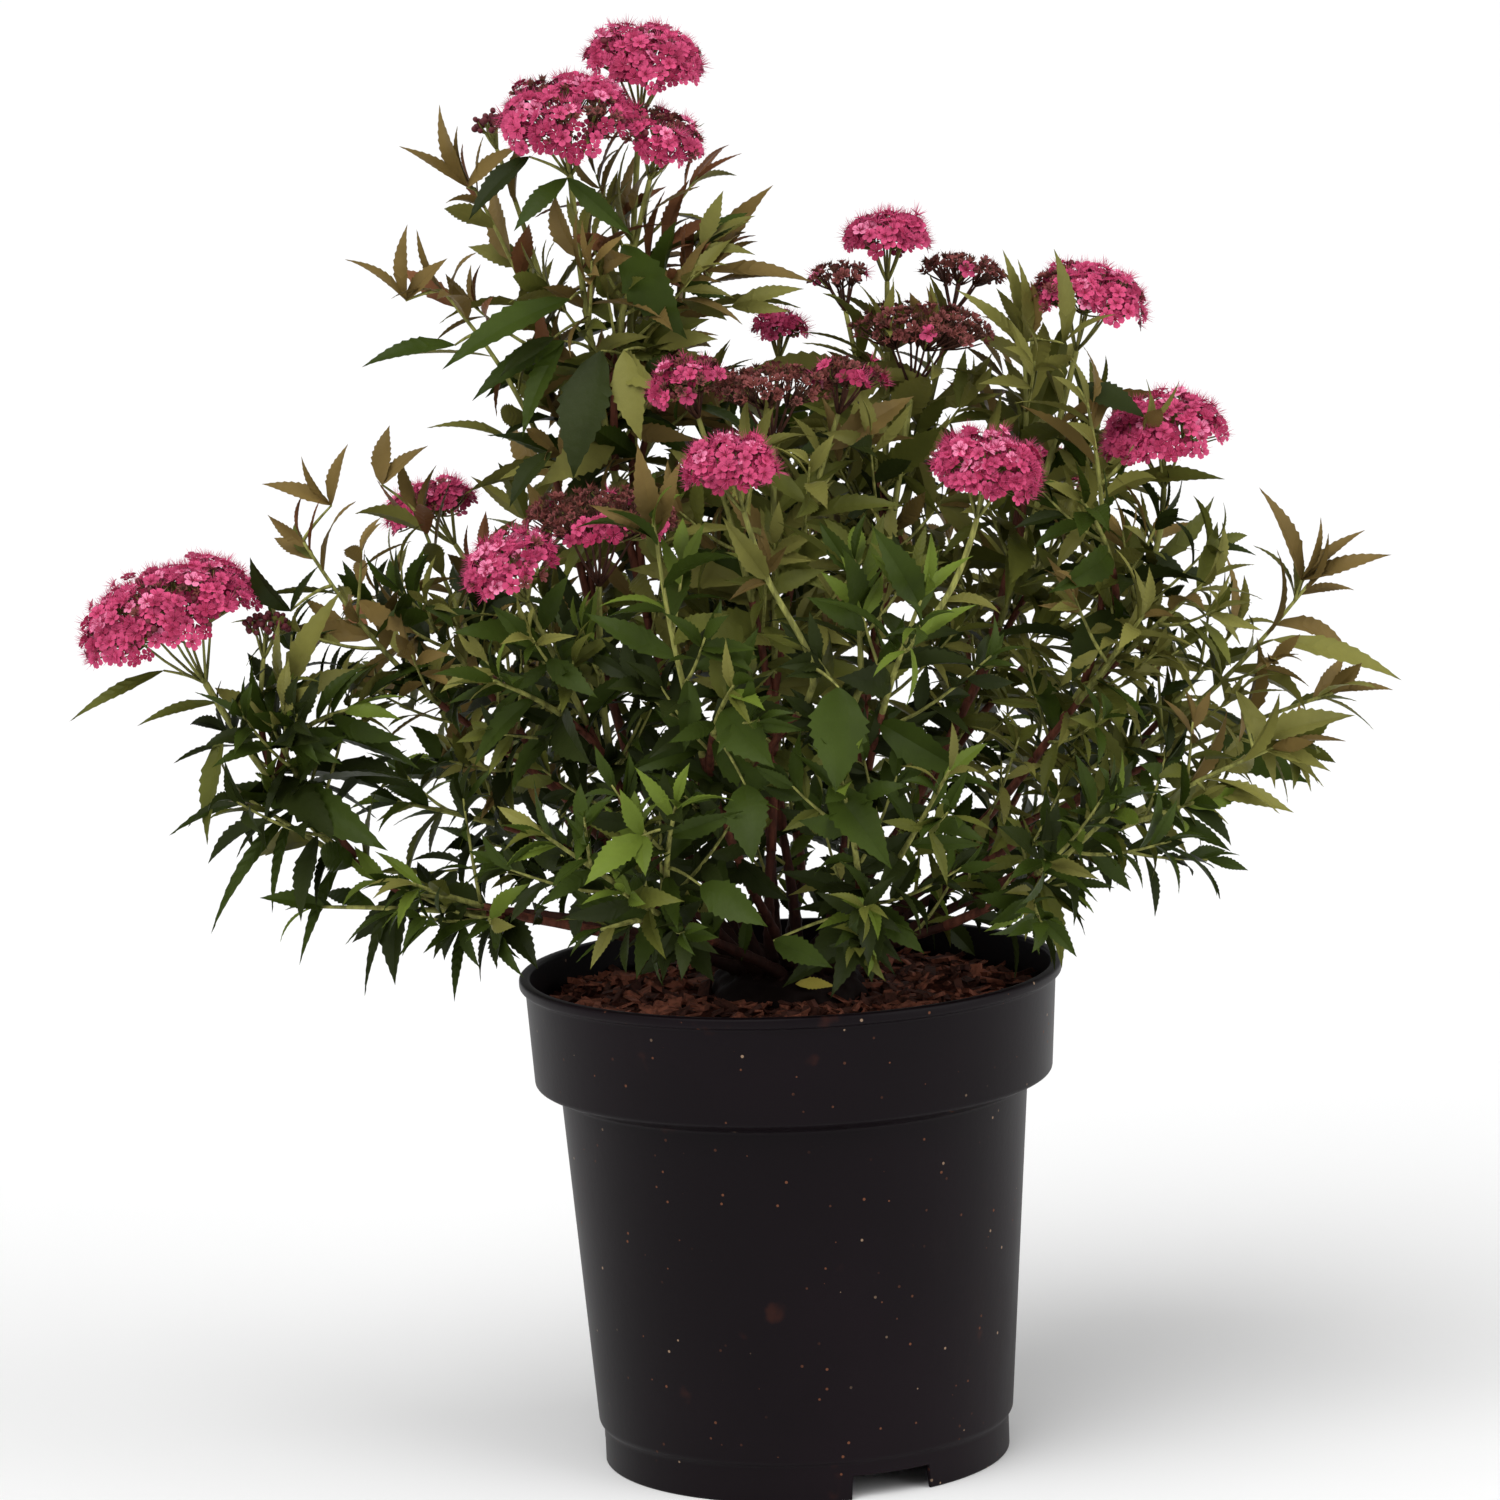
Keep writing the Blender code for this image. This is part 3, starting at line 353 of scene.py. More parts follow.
def shortened(path, by):
    """The path less a length at its end."""
    share = 1 - by / steps(path).sum()
    fine = evenly(path, CHORD_POINTS * len(path))
    return evenly(fine[: max(2, round(share * len(fine)))], len(path))


def tangents(path):
    return unit(np.gradient(path, axis=0))


def finer(path, rings):
    """The same curve with more points on it."""
    return smooth_path(path, tangents(path)[0], rings)


def at(path, share):
    """The point and the direction at a share of the path's length."""
    place = share * (len(path) - 1)
    low = min(int(place), len(path) - 2)
    ways = tangents(path)
    way = unit(ways[low] * (1 - place + low) + ways[low + 1] * (place - low))
    return between(path[low], path[low + 1], place - low), way


# Routes of the limbs, by the model's own rule


def swung(path, amount):
    """The path bowed sideways by an amount, its ends held: a half sine wave."""
    side = np.cross(path[-1] - path[0], UP)
    bow = np.sin(np.pi * np.linspace(0, 1, len(path)))[:, None]
    return path + amount * bow * unit(side)


def chord_points(path):
    """Points along each of the path's straight pieces."""
    share = np.linspace(0, 1, CHORD_POINTS, endpoint=False)[:, None]
    points = between(path[:-1, None], path[1:, None], share)
    return np.concatenate([points.reshape(-1, 3), path[-1:]])


def distance(path, other):
    gaps = chord_points(path)[:, None] - chord_points(other)
    return np.linalg.norm(gaps, axis=2).min()


def clear_route(path, radius, limbs):
    """The first of the path's side swings that keeps clear of all the limbs."""
    for k in range(SWING_TRIES):
        trial = swung(path, SWING_STEP * ((k + 1) // 2) * (-1 if k % 2 else 1))
        room = radius + LIMB_CLEARANCE
        if all(distance(trial, other) > room + thick for other, thick in limbs):
            return trial
    return path


def steepness(mass):
    return (mass.start[2] - SOIL_TOP) / hypot(*mass.start[:2])


def bearing(mass):
    return atan2(mass.start[1], mass.start[0])


def crown_places():
    """Where each bough stands on the root crown: the steepest ones on the inner ring,
    the rest on the outer one, each ring in the order of their bearings."""
    by_rise = sorted(MASSES, key=steepness, reverse=True)
    inner, outer = by_rise[:INNER_COUNT], by_rise[INNER_COUNT:]
    places = {}
    for radius, ring in ((INNER_RING, inner), (OUTER_RING, outer)):
        ring.sort(key=bearing)
        angles = circle(len(ring))
        angles += sum(bearing(mass) for mass in ring) / len(ring) - angles.mean()
        spots = polar(radius, angles, SOIL_TOP + 2 * GAP + CROWN_HEIGHT)
        places.update((mass.name, spot) for mass, spot in zip(ring, spots))
    return places


def bough_paths():
    """Each bough's route from the root crown to its mass, the lowest ones first."""
    places, paths = crown_places(), {}
    for mass in sorted(MASSES, key=steepness):
        first_way = unit(unit(mass.start * (1, 1, 0)) + UP * steepness(mass))
        route = smooth_path([places[mass.name], *mass.via, mass.start], first_way, BOUGH_RINGS)
        limbs = [(path, BOUGH_FOOT_RADIUS) for path in paths.values()]
        paths[mass.name] = clear_route(route, BOUGH_FOOT_RADIUS, limbs)
    return paths


def leader_paths(boughs):
    """For each mass, its leaders' routes. The first goes on from the bough, and each
    other one forks from it, the later ones higher up."""
    limbs = [(name, path, BOUGH_FOOT_RADIUS) for name, path in boughs.items()]
    paths = {}
    for mass in MASSES:
        bough = boughs[mass.name]
        others = [limb[1:] for limb in limbs if limb[0] != mass.name]
        made = []
        for k, leader in enumerate(mass.leaders):
            foot, first_way = bough[-1], tangents(bough)[-1]
            if k:
                foot, first_way = at(made[0], between(FORK_FROM, FORK_TO, min(1, (k - 1) / 3)))
                first_way = unit(first_way + FORK_BEND * unit(leader.tip - foot))
            route = smooth_path([foot, *leader.via, leader.tip], first_way, LEADER_RINGS)
            route = clear_route(route, LEADER_FOOT_RADIUS, others)
            made.append(route if leader.spread else shortened(route, TUFT_REACH))
        paths[mass.name] = made
        limbs += [(mass.name, path, LEADER_FOOT_RADIUS) for path in made]
    return paths


# Growth at life size

STEM_RINGS, SHOOT_RINGS = 22, 7
SHOOT_RADIUS, SHOOT_TIP_RADIUS = 0.0009, 0.00045
SHOOT_LONG, SHOOT_SHORT, SHOOT_VARIES = 0.060, 0.030, (0.65, 1.15)
SHOOT_LEAN, SHOOT_RISE, SHOOT_SCALE, SHOOT_PITCH = 0.7, 0.35, 0.66, 0.8
SHOOT_SPAN, BOUGH_SHOOT_SPAN, SHOOT_LEAF_SPAN = (0.08, 0.80), (0.45, 1.0), (0.12, 0.95)
LEAFY_SPAN, HEAD_SPAN = (0.05, 0.97), (0.05, 0.90)
LOW_LEAN, HIGH_LEAN = radians(30), radians(58)
OLD_DROOP, YOUNG_DROOP, DROOP_VARIES = 0.70, 0.05, (0.2, 1.4)
LEAF_UP, LEAF_ROLL = 0.8, 0.62
LOW_LEAF_SHARE, LOW_LEAF_FROM, LOW_LEAF_TO = 0.66, 0.27, 0.44
OUTER_LEAF_FROM, OUTER_LEAF_TO = 0.13, 0.22
SPRIG_TURN = np.array([0.0, -1.1, 0.0])
BIG_LEAF_ODDS, BIG_LEAF_SCALE = 0.07, 1.12
TUFT_LEAVES, TUFT_STEP = 4, 0.003
SKIRT_FOOT, SKIRT_RADIUS, SKIRT_SLOPE = 0.206, 0.128, 0.25
HEAD_FORK_SHARE = 0.36
WIDTH_OF = dict(dark=1.12, mid=1.0, moss=0.94, olive=0.88, fresh=0.9, bronze=0.86, rust=0.84)
# The odds of each tint for old, middle and young leaves and for the tuft at the tip,
# by the tint of the leader, and the shares of its length where these ages end.
TINT_ODDS = {
    "olive": (dict(dark=4, mid=12, moss=46, olive=38), dict(mid=10, moss=44, olive=46),
              dict(olive=62, moss=22, bronze=16), dict(olive=60, bronze=40)),
    "mid": (dict(dark=84, mid=16), dict(dark=50, mid=40, moss=10),
            dict(mid=52, dark=18, moss=22, fresh=8), dict(fresh=26, mid=50, olive=24)),
    "bronze": (dict(dark=20, mid=14, moss=20, olive=22, bronze=24),
               dict(dark=4, mid=8, moss=20, olive=34, bronze=34),
               dict(olive=38, bronze=42, moss=12, rust=8), dict(bronze=62, rust=38)),
    "lime": (dict(dark=76, mid=24), dict(dark=38, mid=50, fresh=12),
             dict(mid=60, dark=16, fresh=16, moss=8), dict(fresh=70, mid=30)),
}
AGE_ENDS = (0.36, 0.64, 1.0)

Head = namedtuple("Head", "centre axis spread fade fork")
Growth = namedtuple("Growth", "stems shoots leaves heads")


def across_twig(way, angle):
    """The direction across a twig at this angle round it."""
    first = unit(np.cross(way, UP + np.array([0.17, 0.11, 0.0])))
    return cos(angle) * first + sin(angle) * np.cross(way, first)


def leaf_face(root, way):
    """A leaf turns its upper face up and out from the middle of the crown."""
    face = LEAF_UP * UP + unit(root * (1, 1, 0) + 1e-6 * SIDEWAYS)
    return unit(np.cross(unit(np.cross(way, face)), way))


def above_skirt(place):
    """The crown's underside rises a little away from the pot."""
    out = hypot(place[0], place[1]) - SKIRT_RADIUS
    return place[2] > SKIRT_FOOT + SKIRT_SLOPE * max(0.0, out)


def tint_at(leader_tint, share, rng):
    """One tint by its odds: leaves near a leader's foot are old and dark, and young
    ones take its own tint."""
    odds = TINT_ODDS[leader_tint][sum(share >= end for end in AGE_ENDS)]
    drawn = rng.random() * sum(odds.values())
    return list(odds)[np.searchsorted(np.cumsum(list(odds.values())), drawn)]


def low_share(place):
    """Leaves low in the middle of the crown are smaller and closer together."""
    rise = (place[2] - LOW_LEAF_FROM) / (LOW_LEAF_TO - LOW_LEAF_FROM)
    out = (hypot(place[0], place[1]) - OUTER_LEAF_FROM) / (OUTER_LEAF_TO - OUTER_LEAF_FROM)
    return between(LOW_LEAF_SHARE, 1, min(1.0, max(0.0, rise, out)))


class Grower:
    """Grows shoots and leaves along the leaders by a seeded rule. A row of its leaf
    tables is a leaf's root, way and face, then its length, its width as a share of the
    length, and its droop, fold and twist."""

    leaf_numbers = 14

    def __init__(self, leaf_length, leaf_pitch, shoot_pitch, leaf_width):
        self.leaf_length, self.leaf_width = leaf_length, leaf_width
        self.leaf_pitch, self.shoot_pitch = leaf_pitch, shoot_pitch
        self.leaves = {tint: [] for tint in WIDTH_OF}
        self.shoots = []

    def start(self, number):
        """Each mass has its own draws, so that a change in one leaves the others."""
        self.rng = np.random.default_rng([SEED, number])

    def add_leaf(self, root, way, length, tint):
        droop = self.rng.uniform(0.25, 1.15)
        face = leaf_face(root, way)
        roll = self.rng.normal(0, LEAF_ROLL)
        face = cos(roll) * face + sin(roll) * np.cross(way, face)
        if not above_skirt(root + way * length * 0.9 - face * length * droop * 0.4):
            return
        if self.rng.random() < BIG_LEAF_ODDS and tint in ("dark", "mid"):
            length *= BIG_LEAF_SCALE
        width = self.leaf_width * WIDTH_OF[tint] * self.rng.uniform(0.74, 1.22)
        fold, twist = self.rng.uniform(0.10, 0.55), self.rng.uniform(-0.7, 0.7)
        self.leaves[tint].append([*root, *way, *face, length, width, droop, fold, twist])

    def leaf_up(self, path, span, pitch, scale, tint_of, tuft):
        """Leaves along one twig at the golden angle, then a tuft round a bare tip."""
        length = steps(path).sum()
        pitch *= low_share(path[len(path) // 2])
        count = max(1, int(length * (span[1] - span[0]) / pitch))
        turn = self.rng.uniform(0, tau)
        for k in range(count):
            share = between(*span, (k + self.rng.uniform(0.2, 0.8)) / count)
            root, way = at(path, share)
            out = across_twig(way, turn + k * GOLDEN_ANGLE)
            angle = between(LOW_LEAN, HIGH_LEAN, share)
            sag = between(OLD_DROOP, YOUNG_DROOP, share) * self.rng.uniform(*DROOP_VARIES)
            lean = unit(cos(angle) * out + sin(angle) * way - sag * UP)
            size = self.leaf_length * scale * (1.08 - 0.30 * share**2) * low_share(root)
            self.add_leaf(root, lean, size * self.rng.uniform(0.70, 1.15), tint_of(share))
        for k in range(TUFT_LEAVES if tuft else 0):
            root, way = at(path, 1 - k * TUFT_STEP / length)
            out = across_twig(way, turn + k * GOLDEN_ANGLE)
            spread = radians(12 + 11 * k)
            lean = unit(cos(spread) * way + sin(spread) * out)
            size = self.leaf_length * (0.50 + 0.05 * k) * (0.45 + 0.55 * scale)
            size *= between(0.35, 1, low_share(root))
            self.add_leaf(root, lean, size * self.rng.uniform(0.85, 1.15), tint_of(1.0))

    def grow_shoots(self, path, tint, span, bushy):
        """Side shoots stand out all round a leader, shorter towards its tip."""
        count = int(steps(path).sum() * (span[1] - span[0]) * bushy / self.shoot_pitch)
        turn = self.rng.uniform(0, tau)
        for k in range(count):
            share = between(*span, (k + 0.5) / count)
            foot, way = at(path, share)
            shoot_way = unit(across_twig(way, turn + k * GOLDEN_ANGLE) + SHOOT_LEAN * way)
            length = between(SHOOT_LONG, SHOOT_SHORT, share) * self.rng.uniform(*SHOOT_VARIES)
            tip = foot + length * unit(shoot_way + SHOOT_RISE * UP)
            if not above_skirt(tip - 0.02 * UP):
                continue
            route = smooth_path([foot, tip], shoot_way, SHOOT_RINGS)
            self.shoots.append(route)
            spray = tint_at(tint, share, self.rng)
            tips = tint_at(tint, min(1.0, share + 0.35), self.rng)
            self.leaf_up(route, SHOOT_LEAF_SPAN, SHOOT_PITCH * self.leaf_pitch, SHOOT_SCALE,
                         lambda along: tips if along >= 1 else spray, True)

    def grow_leader(self, route, leader):
        pitch = self.leaf_pitch / between(0.5, 1, min(1.0, leader.bushy))
        self.leaf_up(route, HEAD_SPAN if leader.spread else LEAFY_SPAN, pitch, 1.0,
                     lambda along: tint_at(leader.tint, along, self.rng), not leader.spread)
        self.grow_shoots(route, leader.tint, SHOOT_SPAN, leader.bushy)

    def grow_sprig(self, sprig, stems):
        """The leaves that stand out, on a shoot from the nearest stem that lies nearer
        to the root crown. Each leaf's chord runs from the sprig's foot to its tip."""
        foot, tint = np.array(sprig[:3]) / 1000, sprig[3]
        base = SOIL_TOP * UP
        inner = stems[np.linalg.norm(stems - base, axis=1) < np.linalg.norm(foot - base)]
        start = inner[np.linalg.norm(inner - foot, axis=1).argmin()]
        way = unit(foot - start + 0.3 * np.linalg.norm(foot - start) * UP)
        self.shoots.append(smooth_path([start, foot], way, SHOOT_RINGS))
        for *tip, width in sprig[4:]:
            chord = np.array(tip) / 1000 - foot
            ahead = unit(chord)
            bend = self.rng.uniform(0.35, 0.8) / 2
            normal = unit(np.cross(np.cross(ahead, leaf_face(foot, ahead) + SPRIG_TURN), ahead))
            way = cos(bend) * ahead + sin(bend) * normal
            face = cos(bend) * normal - sin(bend) * ahead
            length = np.linalg.norm(chord) * bend / sin(bend)
            fold, twist = self.rng.uniform(0.1, 0.4), self.rng.uniform(-0.3, 0.3)
            row = [*foot, *way, *face, length, width / 100, 2 * bend, fold, twist]
            self.leaves[tint].append(row)


@lru_cache(maxsize=1)
def grown(leaf_length, leaf_pitch, shoot_pitch, leaf_width):
    """Everything that grows from the boughs: leaders, shoots, leaves and heads."""
    grower = Grower(leaf_length, leaf_pitch, shoot_pitch, leaf_width)
    boughs = bough_paths()
    leaders = leader_paths(boughs)
    stems, heads = [], []
    for number, mass in enumerate(MASSES):
        grower.start(number)
        grower.grow_shoots(finer(boughs[mass.name], STEM_RINGS), "mid", BOUGH_SHOOT_SPAN, 1.0)
        for k, (route, leader) in enumerate(zip(leaders[mass.name], mass.leaders)):
            route = finer(route, STEM_RINGS)
            if leader.spread:
                axis = unit(tangents(route)[-1] + HEAD_UP * UP + np.array([*leader.lean, 0.0]))
                centre = route[-1]
                cut = min(HEAD_FORK_SHARE * leader.spread + 0.004, 0.4 * steps(route).sum())
                route = evenly(shortened(route, cut), STEM_RINGS)
                heads.append(Head(centre, axis, leader.spread, leader.fade, route[-1]))
            foot_radius = LEADER_FOOT_RADIUS if k else BOUGH_TIP_RADIUS
            stems.append((route, foot_radius, TWIG_TIP_RADIUS + HEAD_STEM_SHARE * leader.spread))
            grower.grow_leader(route, leader)
    places = np.concatenate([stem[0] for stem in stems])
    for sprig in SPRIGS:
        grower.grow_sprig(sprig, places)
    shape = (-1, Grower.leaf_numbers)
    leaves = {tint: np.reshape(rows, shape) for tint, rows in grower.leaves.items()}
    return Growth(stems, np.array(grower.shoots), leaves, heads)


# Surfaces as (points, quads, triangles), worked out as whole arrays

NO_QUADS = np.empty((0, 4), int)
NO_TRIANGLES = np.empty((0, 3), int)


def grid_quads(rows, columns, closed=False):
    """Faces between neighbouring points of a grid, whose columns may close a ring."""
    across = columns if closed else columns - 1
    row, column = np.meshgrid(np.arange(rows - 1), np.arange(across), indexing="ij")
    after = (column + 1) % columns
    low, high = row * columns, (row + 1) * columns
    return np.stack([low + column, low + after, high + after, high + column], -1).reshape(-1, 4)


def fan(pole, ring, facing_out=True):
    """Triangles from each side of a ring to one point."""
    after = np.roll(ring, -1)
    first, second = (ring, after) if facing_out else (after, ring)
    return np.stack([first, second, np.full(len(ring), pole)], -1)


def skinned(grid, stop, start=None):
    """The surface over a stack of closed rings, with a point after the last ring and,
    where it is given, one before the first."""
    rows, columns = grid.shape[:2]
    size = rows * columns
    poles = [stop]
    fans = [fan(size, np.arange(size - columns, size))]
    if start is not None:
        poles.append(start)
        fans.append(fan(size + 1, np.arange(columns), facing_out=False))
    points = np.concatenate([grid.reshape(-1, 3), poles])
    return points, grid_quads(rows, columns, closed=True), np.concatenate(fans)


def repeated(points, quads, triangles):
    """The faces of one shape, for each of many copies of it: (copies, points, 3)."""
    copies, size = points.shape[:2]
    shift = (np.arange(copies) * size)[:, None, None]
    quads = (quads + shift).reshape(-1, 4)
    return points.reshape(-1, 3), quads, (triangles + shift).reshape(-1, 3)


def joined(first, second):
    """Two shapes as one."""
    starts = (0, len(first[0]), len(first[0]))
    return tuple(np.concatenate([a, b + start]) for a, b, start in zip(first, second, starts))


def standing_frames(ways, angles=(0.0,)):
    """For each direction, a frame whose third axis it is, turned by an angle."""
    first = unit(np.cross(ways, np.array([0.31, 0.17, 0.94])))
    second = np.cross(ways, first)
    c, s = np.cos(angles)[:, None], np.sin(angles)[:, None]
    return np.stack([c * first + s * second, c * second - s * first, ways], axis=1)


def placed(shape, centres, frames, sizes):
    """Copies of a shape at places, in their frames and sizes."""
    points, quads, triangles = shape
    points = points @ frames * sizes[:, None, None]
    return repeated(centres[:, None] + points, quads, triangles)


def waves(places, length, seed, count=9):
    """Smooth unevenness from -2 to 2, mostly within 1: twice the mean of cosine waves
    in seeded directions, each about this long."""
    rng = np.random.default_rng(seed)
    ways = unit(rng.normal(size=(count, places.shape[-1])))
    pitch = length * rng.uniform(0.6, 1.6, count)
    phase = rng.uniform(0, tau, count)
    return np.cos(places @ ways.T * (tau / pitch) + phase).mean(axis=-1) * 2


def limb_frames(paths):
    """The direction of each of many paths at each point, and two directions across it,
    carried along it without twist."""
    ways = unit(np.gradient(paths, axis=1))
    steep = np.abs(ways[:, 0, 2:]) > 0.9
    across = np.cross(ways[:, 0], np.where(steep, SIDEWAYS, UP))
    firsts = np.empty_like(ways)
    for ring in range(paths.shape[1]):
        way = ways[:, ring]
        across = unit(across - (across * way).sum(axis=1, keepdims=True) * way)
        firsts[:, ring] = across
    return ways, firsts, np.cross(ways, firsts)


def limbs(paths, radii, sides):
    """Round limbs along many paths: centre + radius * (cos a, sin a) across the path,
    closed by a point at either end. The radii are for each path, ring and side."""
    ways, first, second = limb_frames(paths)
    angle = circle(sides)[:, None]
    radii = np.broadcast_to(radii, (*paths.shape[:2], sides))
    ring = np.cos(angle) * first[:, :, None] + np.sin(angle) * second[:, :, None]
    grid = paths[:, :, None] + radii[..., None] * ring
    bluntness = radii[:, -1].mean(axis=1)[:, None] * 0.8
    ends = np.stack([paths[:, -1] + ways[:, -1] * bluntness, paths[:, 0]], axis=1)
    points = np.concatenate([grid.reshape(len(paths), -1, 3), ends], axis=1)
    return repeated(points, *skinned(grid[0], *ends[0])[1:])


# Leaves

LEAF_COLUMNS = np.array([-1.0, -0.5, 0.0, 0.5, 1.0])
STALK_ROWS, STALK_SHARE = (0.0, 0.05, 0.13), 0.05
TEETH, TEETH_FROM, TEETH_TO = 8, 0.19, 0.93
TOOTH_DEPTH, TOOTH_FORWARD = 0.085, 0.016
VEIN_SLANT, RIB_DEPTH = 0.10, 0.008
WIDEST_POWER, TIP_POWER = 0.76, 1.15


def leaf_shapes(leaves):
    """Toothed blades with a midrib fold, for a table of leaves. At a share s of the
    midrib the blade bends by droop * s and rolls by twist * s. Its half width is
    sin(pi * s ** power) ** power, wider at each tooth, and veins slant forward."""
    along = np.concatenate([STALK_ROWS, np.linspace(TEETH_FROM, TEETH_TO, 2 * TEETH)])[:, None]
    tooth = np.concatenate([np.zeros(len(STALK_ROWS)), np.tile([-1.0, 1.0], TEETH)])[:, None]
    across = np.abs(LEAF_COLUMNS)
    edge = (across == 1.0) * tooth
    slant = (tooth != 0) * VEIN_SLANT * across * (1.15 - along)
    s = along + slant + TOOTH_FORWARD * (edge > 0)
    half = np.sin(np.pi * np.clip(s, 0, 1) ** WIDEST_POWER).clip(0) ** TIP_POWER
    half = np.maximum(half, STALK_SHARE) * (1 + TOOTH_DEPTH * edge)
    rib = -RIB_DEPTH * tooth * (across == 0.5)

    root, way, face = (leaves[:, None, None, k : k + 3] for k in (0, 3, 6))
    length, width, droop, fold, twist = (leaves[:, None, None, k] for k in range(9, 14))
    side = np.cross(way, face)

    def blade(s, half, rib, column):
        theta, roll = (droop * s)[..., None], (twist * s)[..., None]
        spine = np.sin(theta) * way - (1 - np.cos(theta)) * face
        spine = root + spine * (length / droop)[..., None]
        normal = np.sin(theta) * way + np.cos(theta) * face
        aside = np.cos(roll) * side + np.sin(roll) * normal
        lift = np.cos(roll) * normal - np.sin(roll) * side
        reach = column * half * width * length / 2
        raised = np.abs(reach) * np.sin(fold) + rib * length
        return spine + (reach * np.cos(fold))[..., None] * aside + raised[..., None] * lift

    grid = blade(s, half, rib, LEAF_COLUMNS)
    tip = blade(np.ones((1, 1)), np.zeros((1, 1)), 0.0, 0.0)
    points = np.concatenate([part.reshape(len(leaves), -1, 3) for part in (grid, tip)], 1)
    rows, columns = s.shape
    last = np.arange((rows - 1) * columns, rows * columns)
    ends = np.stack([last[:-1], last[1:], np.full(columns - 1, rows * columns)], -1)
    return repeated(points, grid_quads(rows, columns), ends)


# Flowers

FLORETS_PER_M2, INNER_SHARE, FADED_THINNER = 56000, 0.42, 0.35
DOME_HEIGHT_SHARE, DOME_SUNK_SHARE = 0.19, 0.06
DOME_ANGLE, DOME_UNEVEN = radians(102), 0.0011
CUSHIONS, CUSHION_RING, CUSHION_RADIUS = 7, 0.66, 0.50
CUSHION_HEIGHT, CUSHION_PINCH, CUSHION_FAN = 0.11, 0.13, 0.75
FADED_HEIGHT, FLORET_TILT = 0.55, 0.30
PETALS, STAMENS = 5, 10
STALK_RINGS, STALK_SAG, STALK_ODDS = 4, 0.10, 0.725
FLORET_STALK_RADIUS, CUSHION_STALK_RADIUS = 0.00042, 0.00062
SUB_FORK_SHARE, BUD_ODDS, FADED_PETAL_ODDS, VALLEY_SHADE = 0.62, 0.05, 0.35, 0.42
FLORET_MARGIN, FLORET_FOOT = 0.0028, 0.0012
OPEN, FADED, BUD = 0, 1, 2
# Each tint of petals, with the limits of the draw that picks it. The draw rises towards the valleys between
# cushions, so the pale tint is partly a painted highlight on the cushions' tops and the shaded tint is
# painted shade in the valleys.
PETAL_TINTS = (("pale", 0.0, 0.34), ("bright", 0.34, 0.76), ("deep", 0.76, 2.0))

Floret = namedtuple("Floret", "centres ways foots sub_forks state inner away")
Stalk = namedtuple("Stalk", "starts ends faded")


def petal_ring(reach, half_width, cup, lift):
    """Five round petals: six points round a middle, each turned by a fifth. The unit is
    the floret's radius."""
    x = np.array([0.14, 0.50, 0.84, 1.00, 0.84, 0.50, 0.62]) * reach
    y = np.array([0.0, 0.92, 0.86, 0.0, -0.86, -0.92, 0.0]) * half_width
    z = lift * x + cup * np.array([0.0, 0.8, 0.7, 0.2, 0.7, 0.8, 0.45])
    angle = circle(PETALS)[:, None]
    points = polar(x, angle, z) + polar(y, angle + pi / 2, 0.0)
    return repeated(points, NO_QUADS, fan(6, np.arange(6)))


def ball(rows, columns, squash=1.0):
    """A round bead: (sin p cos a, sin p sin a, -cos p), with a point at either pole."""
    p = np.linspace(0, pi, rows + 2)[1:-1, None]
    return skinned(polar(np.sin(p), circle(columns), -np.cos(p) * squash), squash * UP, -squash * UP)


def stamen_ring(count, reach, thickness, seed):
    """Fine hairs that stand up and out from the middle, each to a point."""
    rng = np.random.default_rng(seed)
    a = np.arange(count) * GOLDEN_ANGLE + rng.uniform(-0.2, 0.2, count)
    frames = standing_frames(unit(polar(rng.uniform(0.25, 0.95, count), a, 1.0)))
    hair = np.concatenate([[reach * UP], polar(thickness, circle(3), 0.0)])
    faces = np.array([[0, 1, 2], [0, 2, 3], [0, 3, 1], [3, 2, 1]])
    sizes = rng.uniform(0.8, 1.15, count)
    return placed((hair, NO_QUADS, faces), polar(0.16, a, 0.0), frames, sizes)


def seed_star():
    """Five small pointed seed cases that lean out from the middle, and a few dry
    hairs between them."""
    frames = standing_frames(unit(polar(0.9, circle(PETALS), 1.0)))
    case = skinned(polar(0.19, circle(3), 0.32)[None], 0.85 * UP, 0 * UP)
    star = placed(case, np.zeros((PETALS, 3)), frames, np.ones(PETALS))
    return joined(star, stamen_ring(4, 1.15, 0.05, 4))


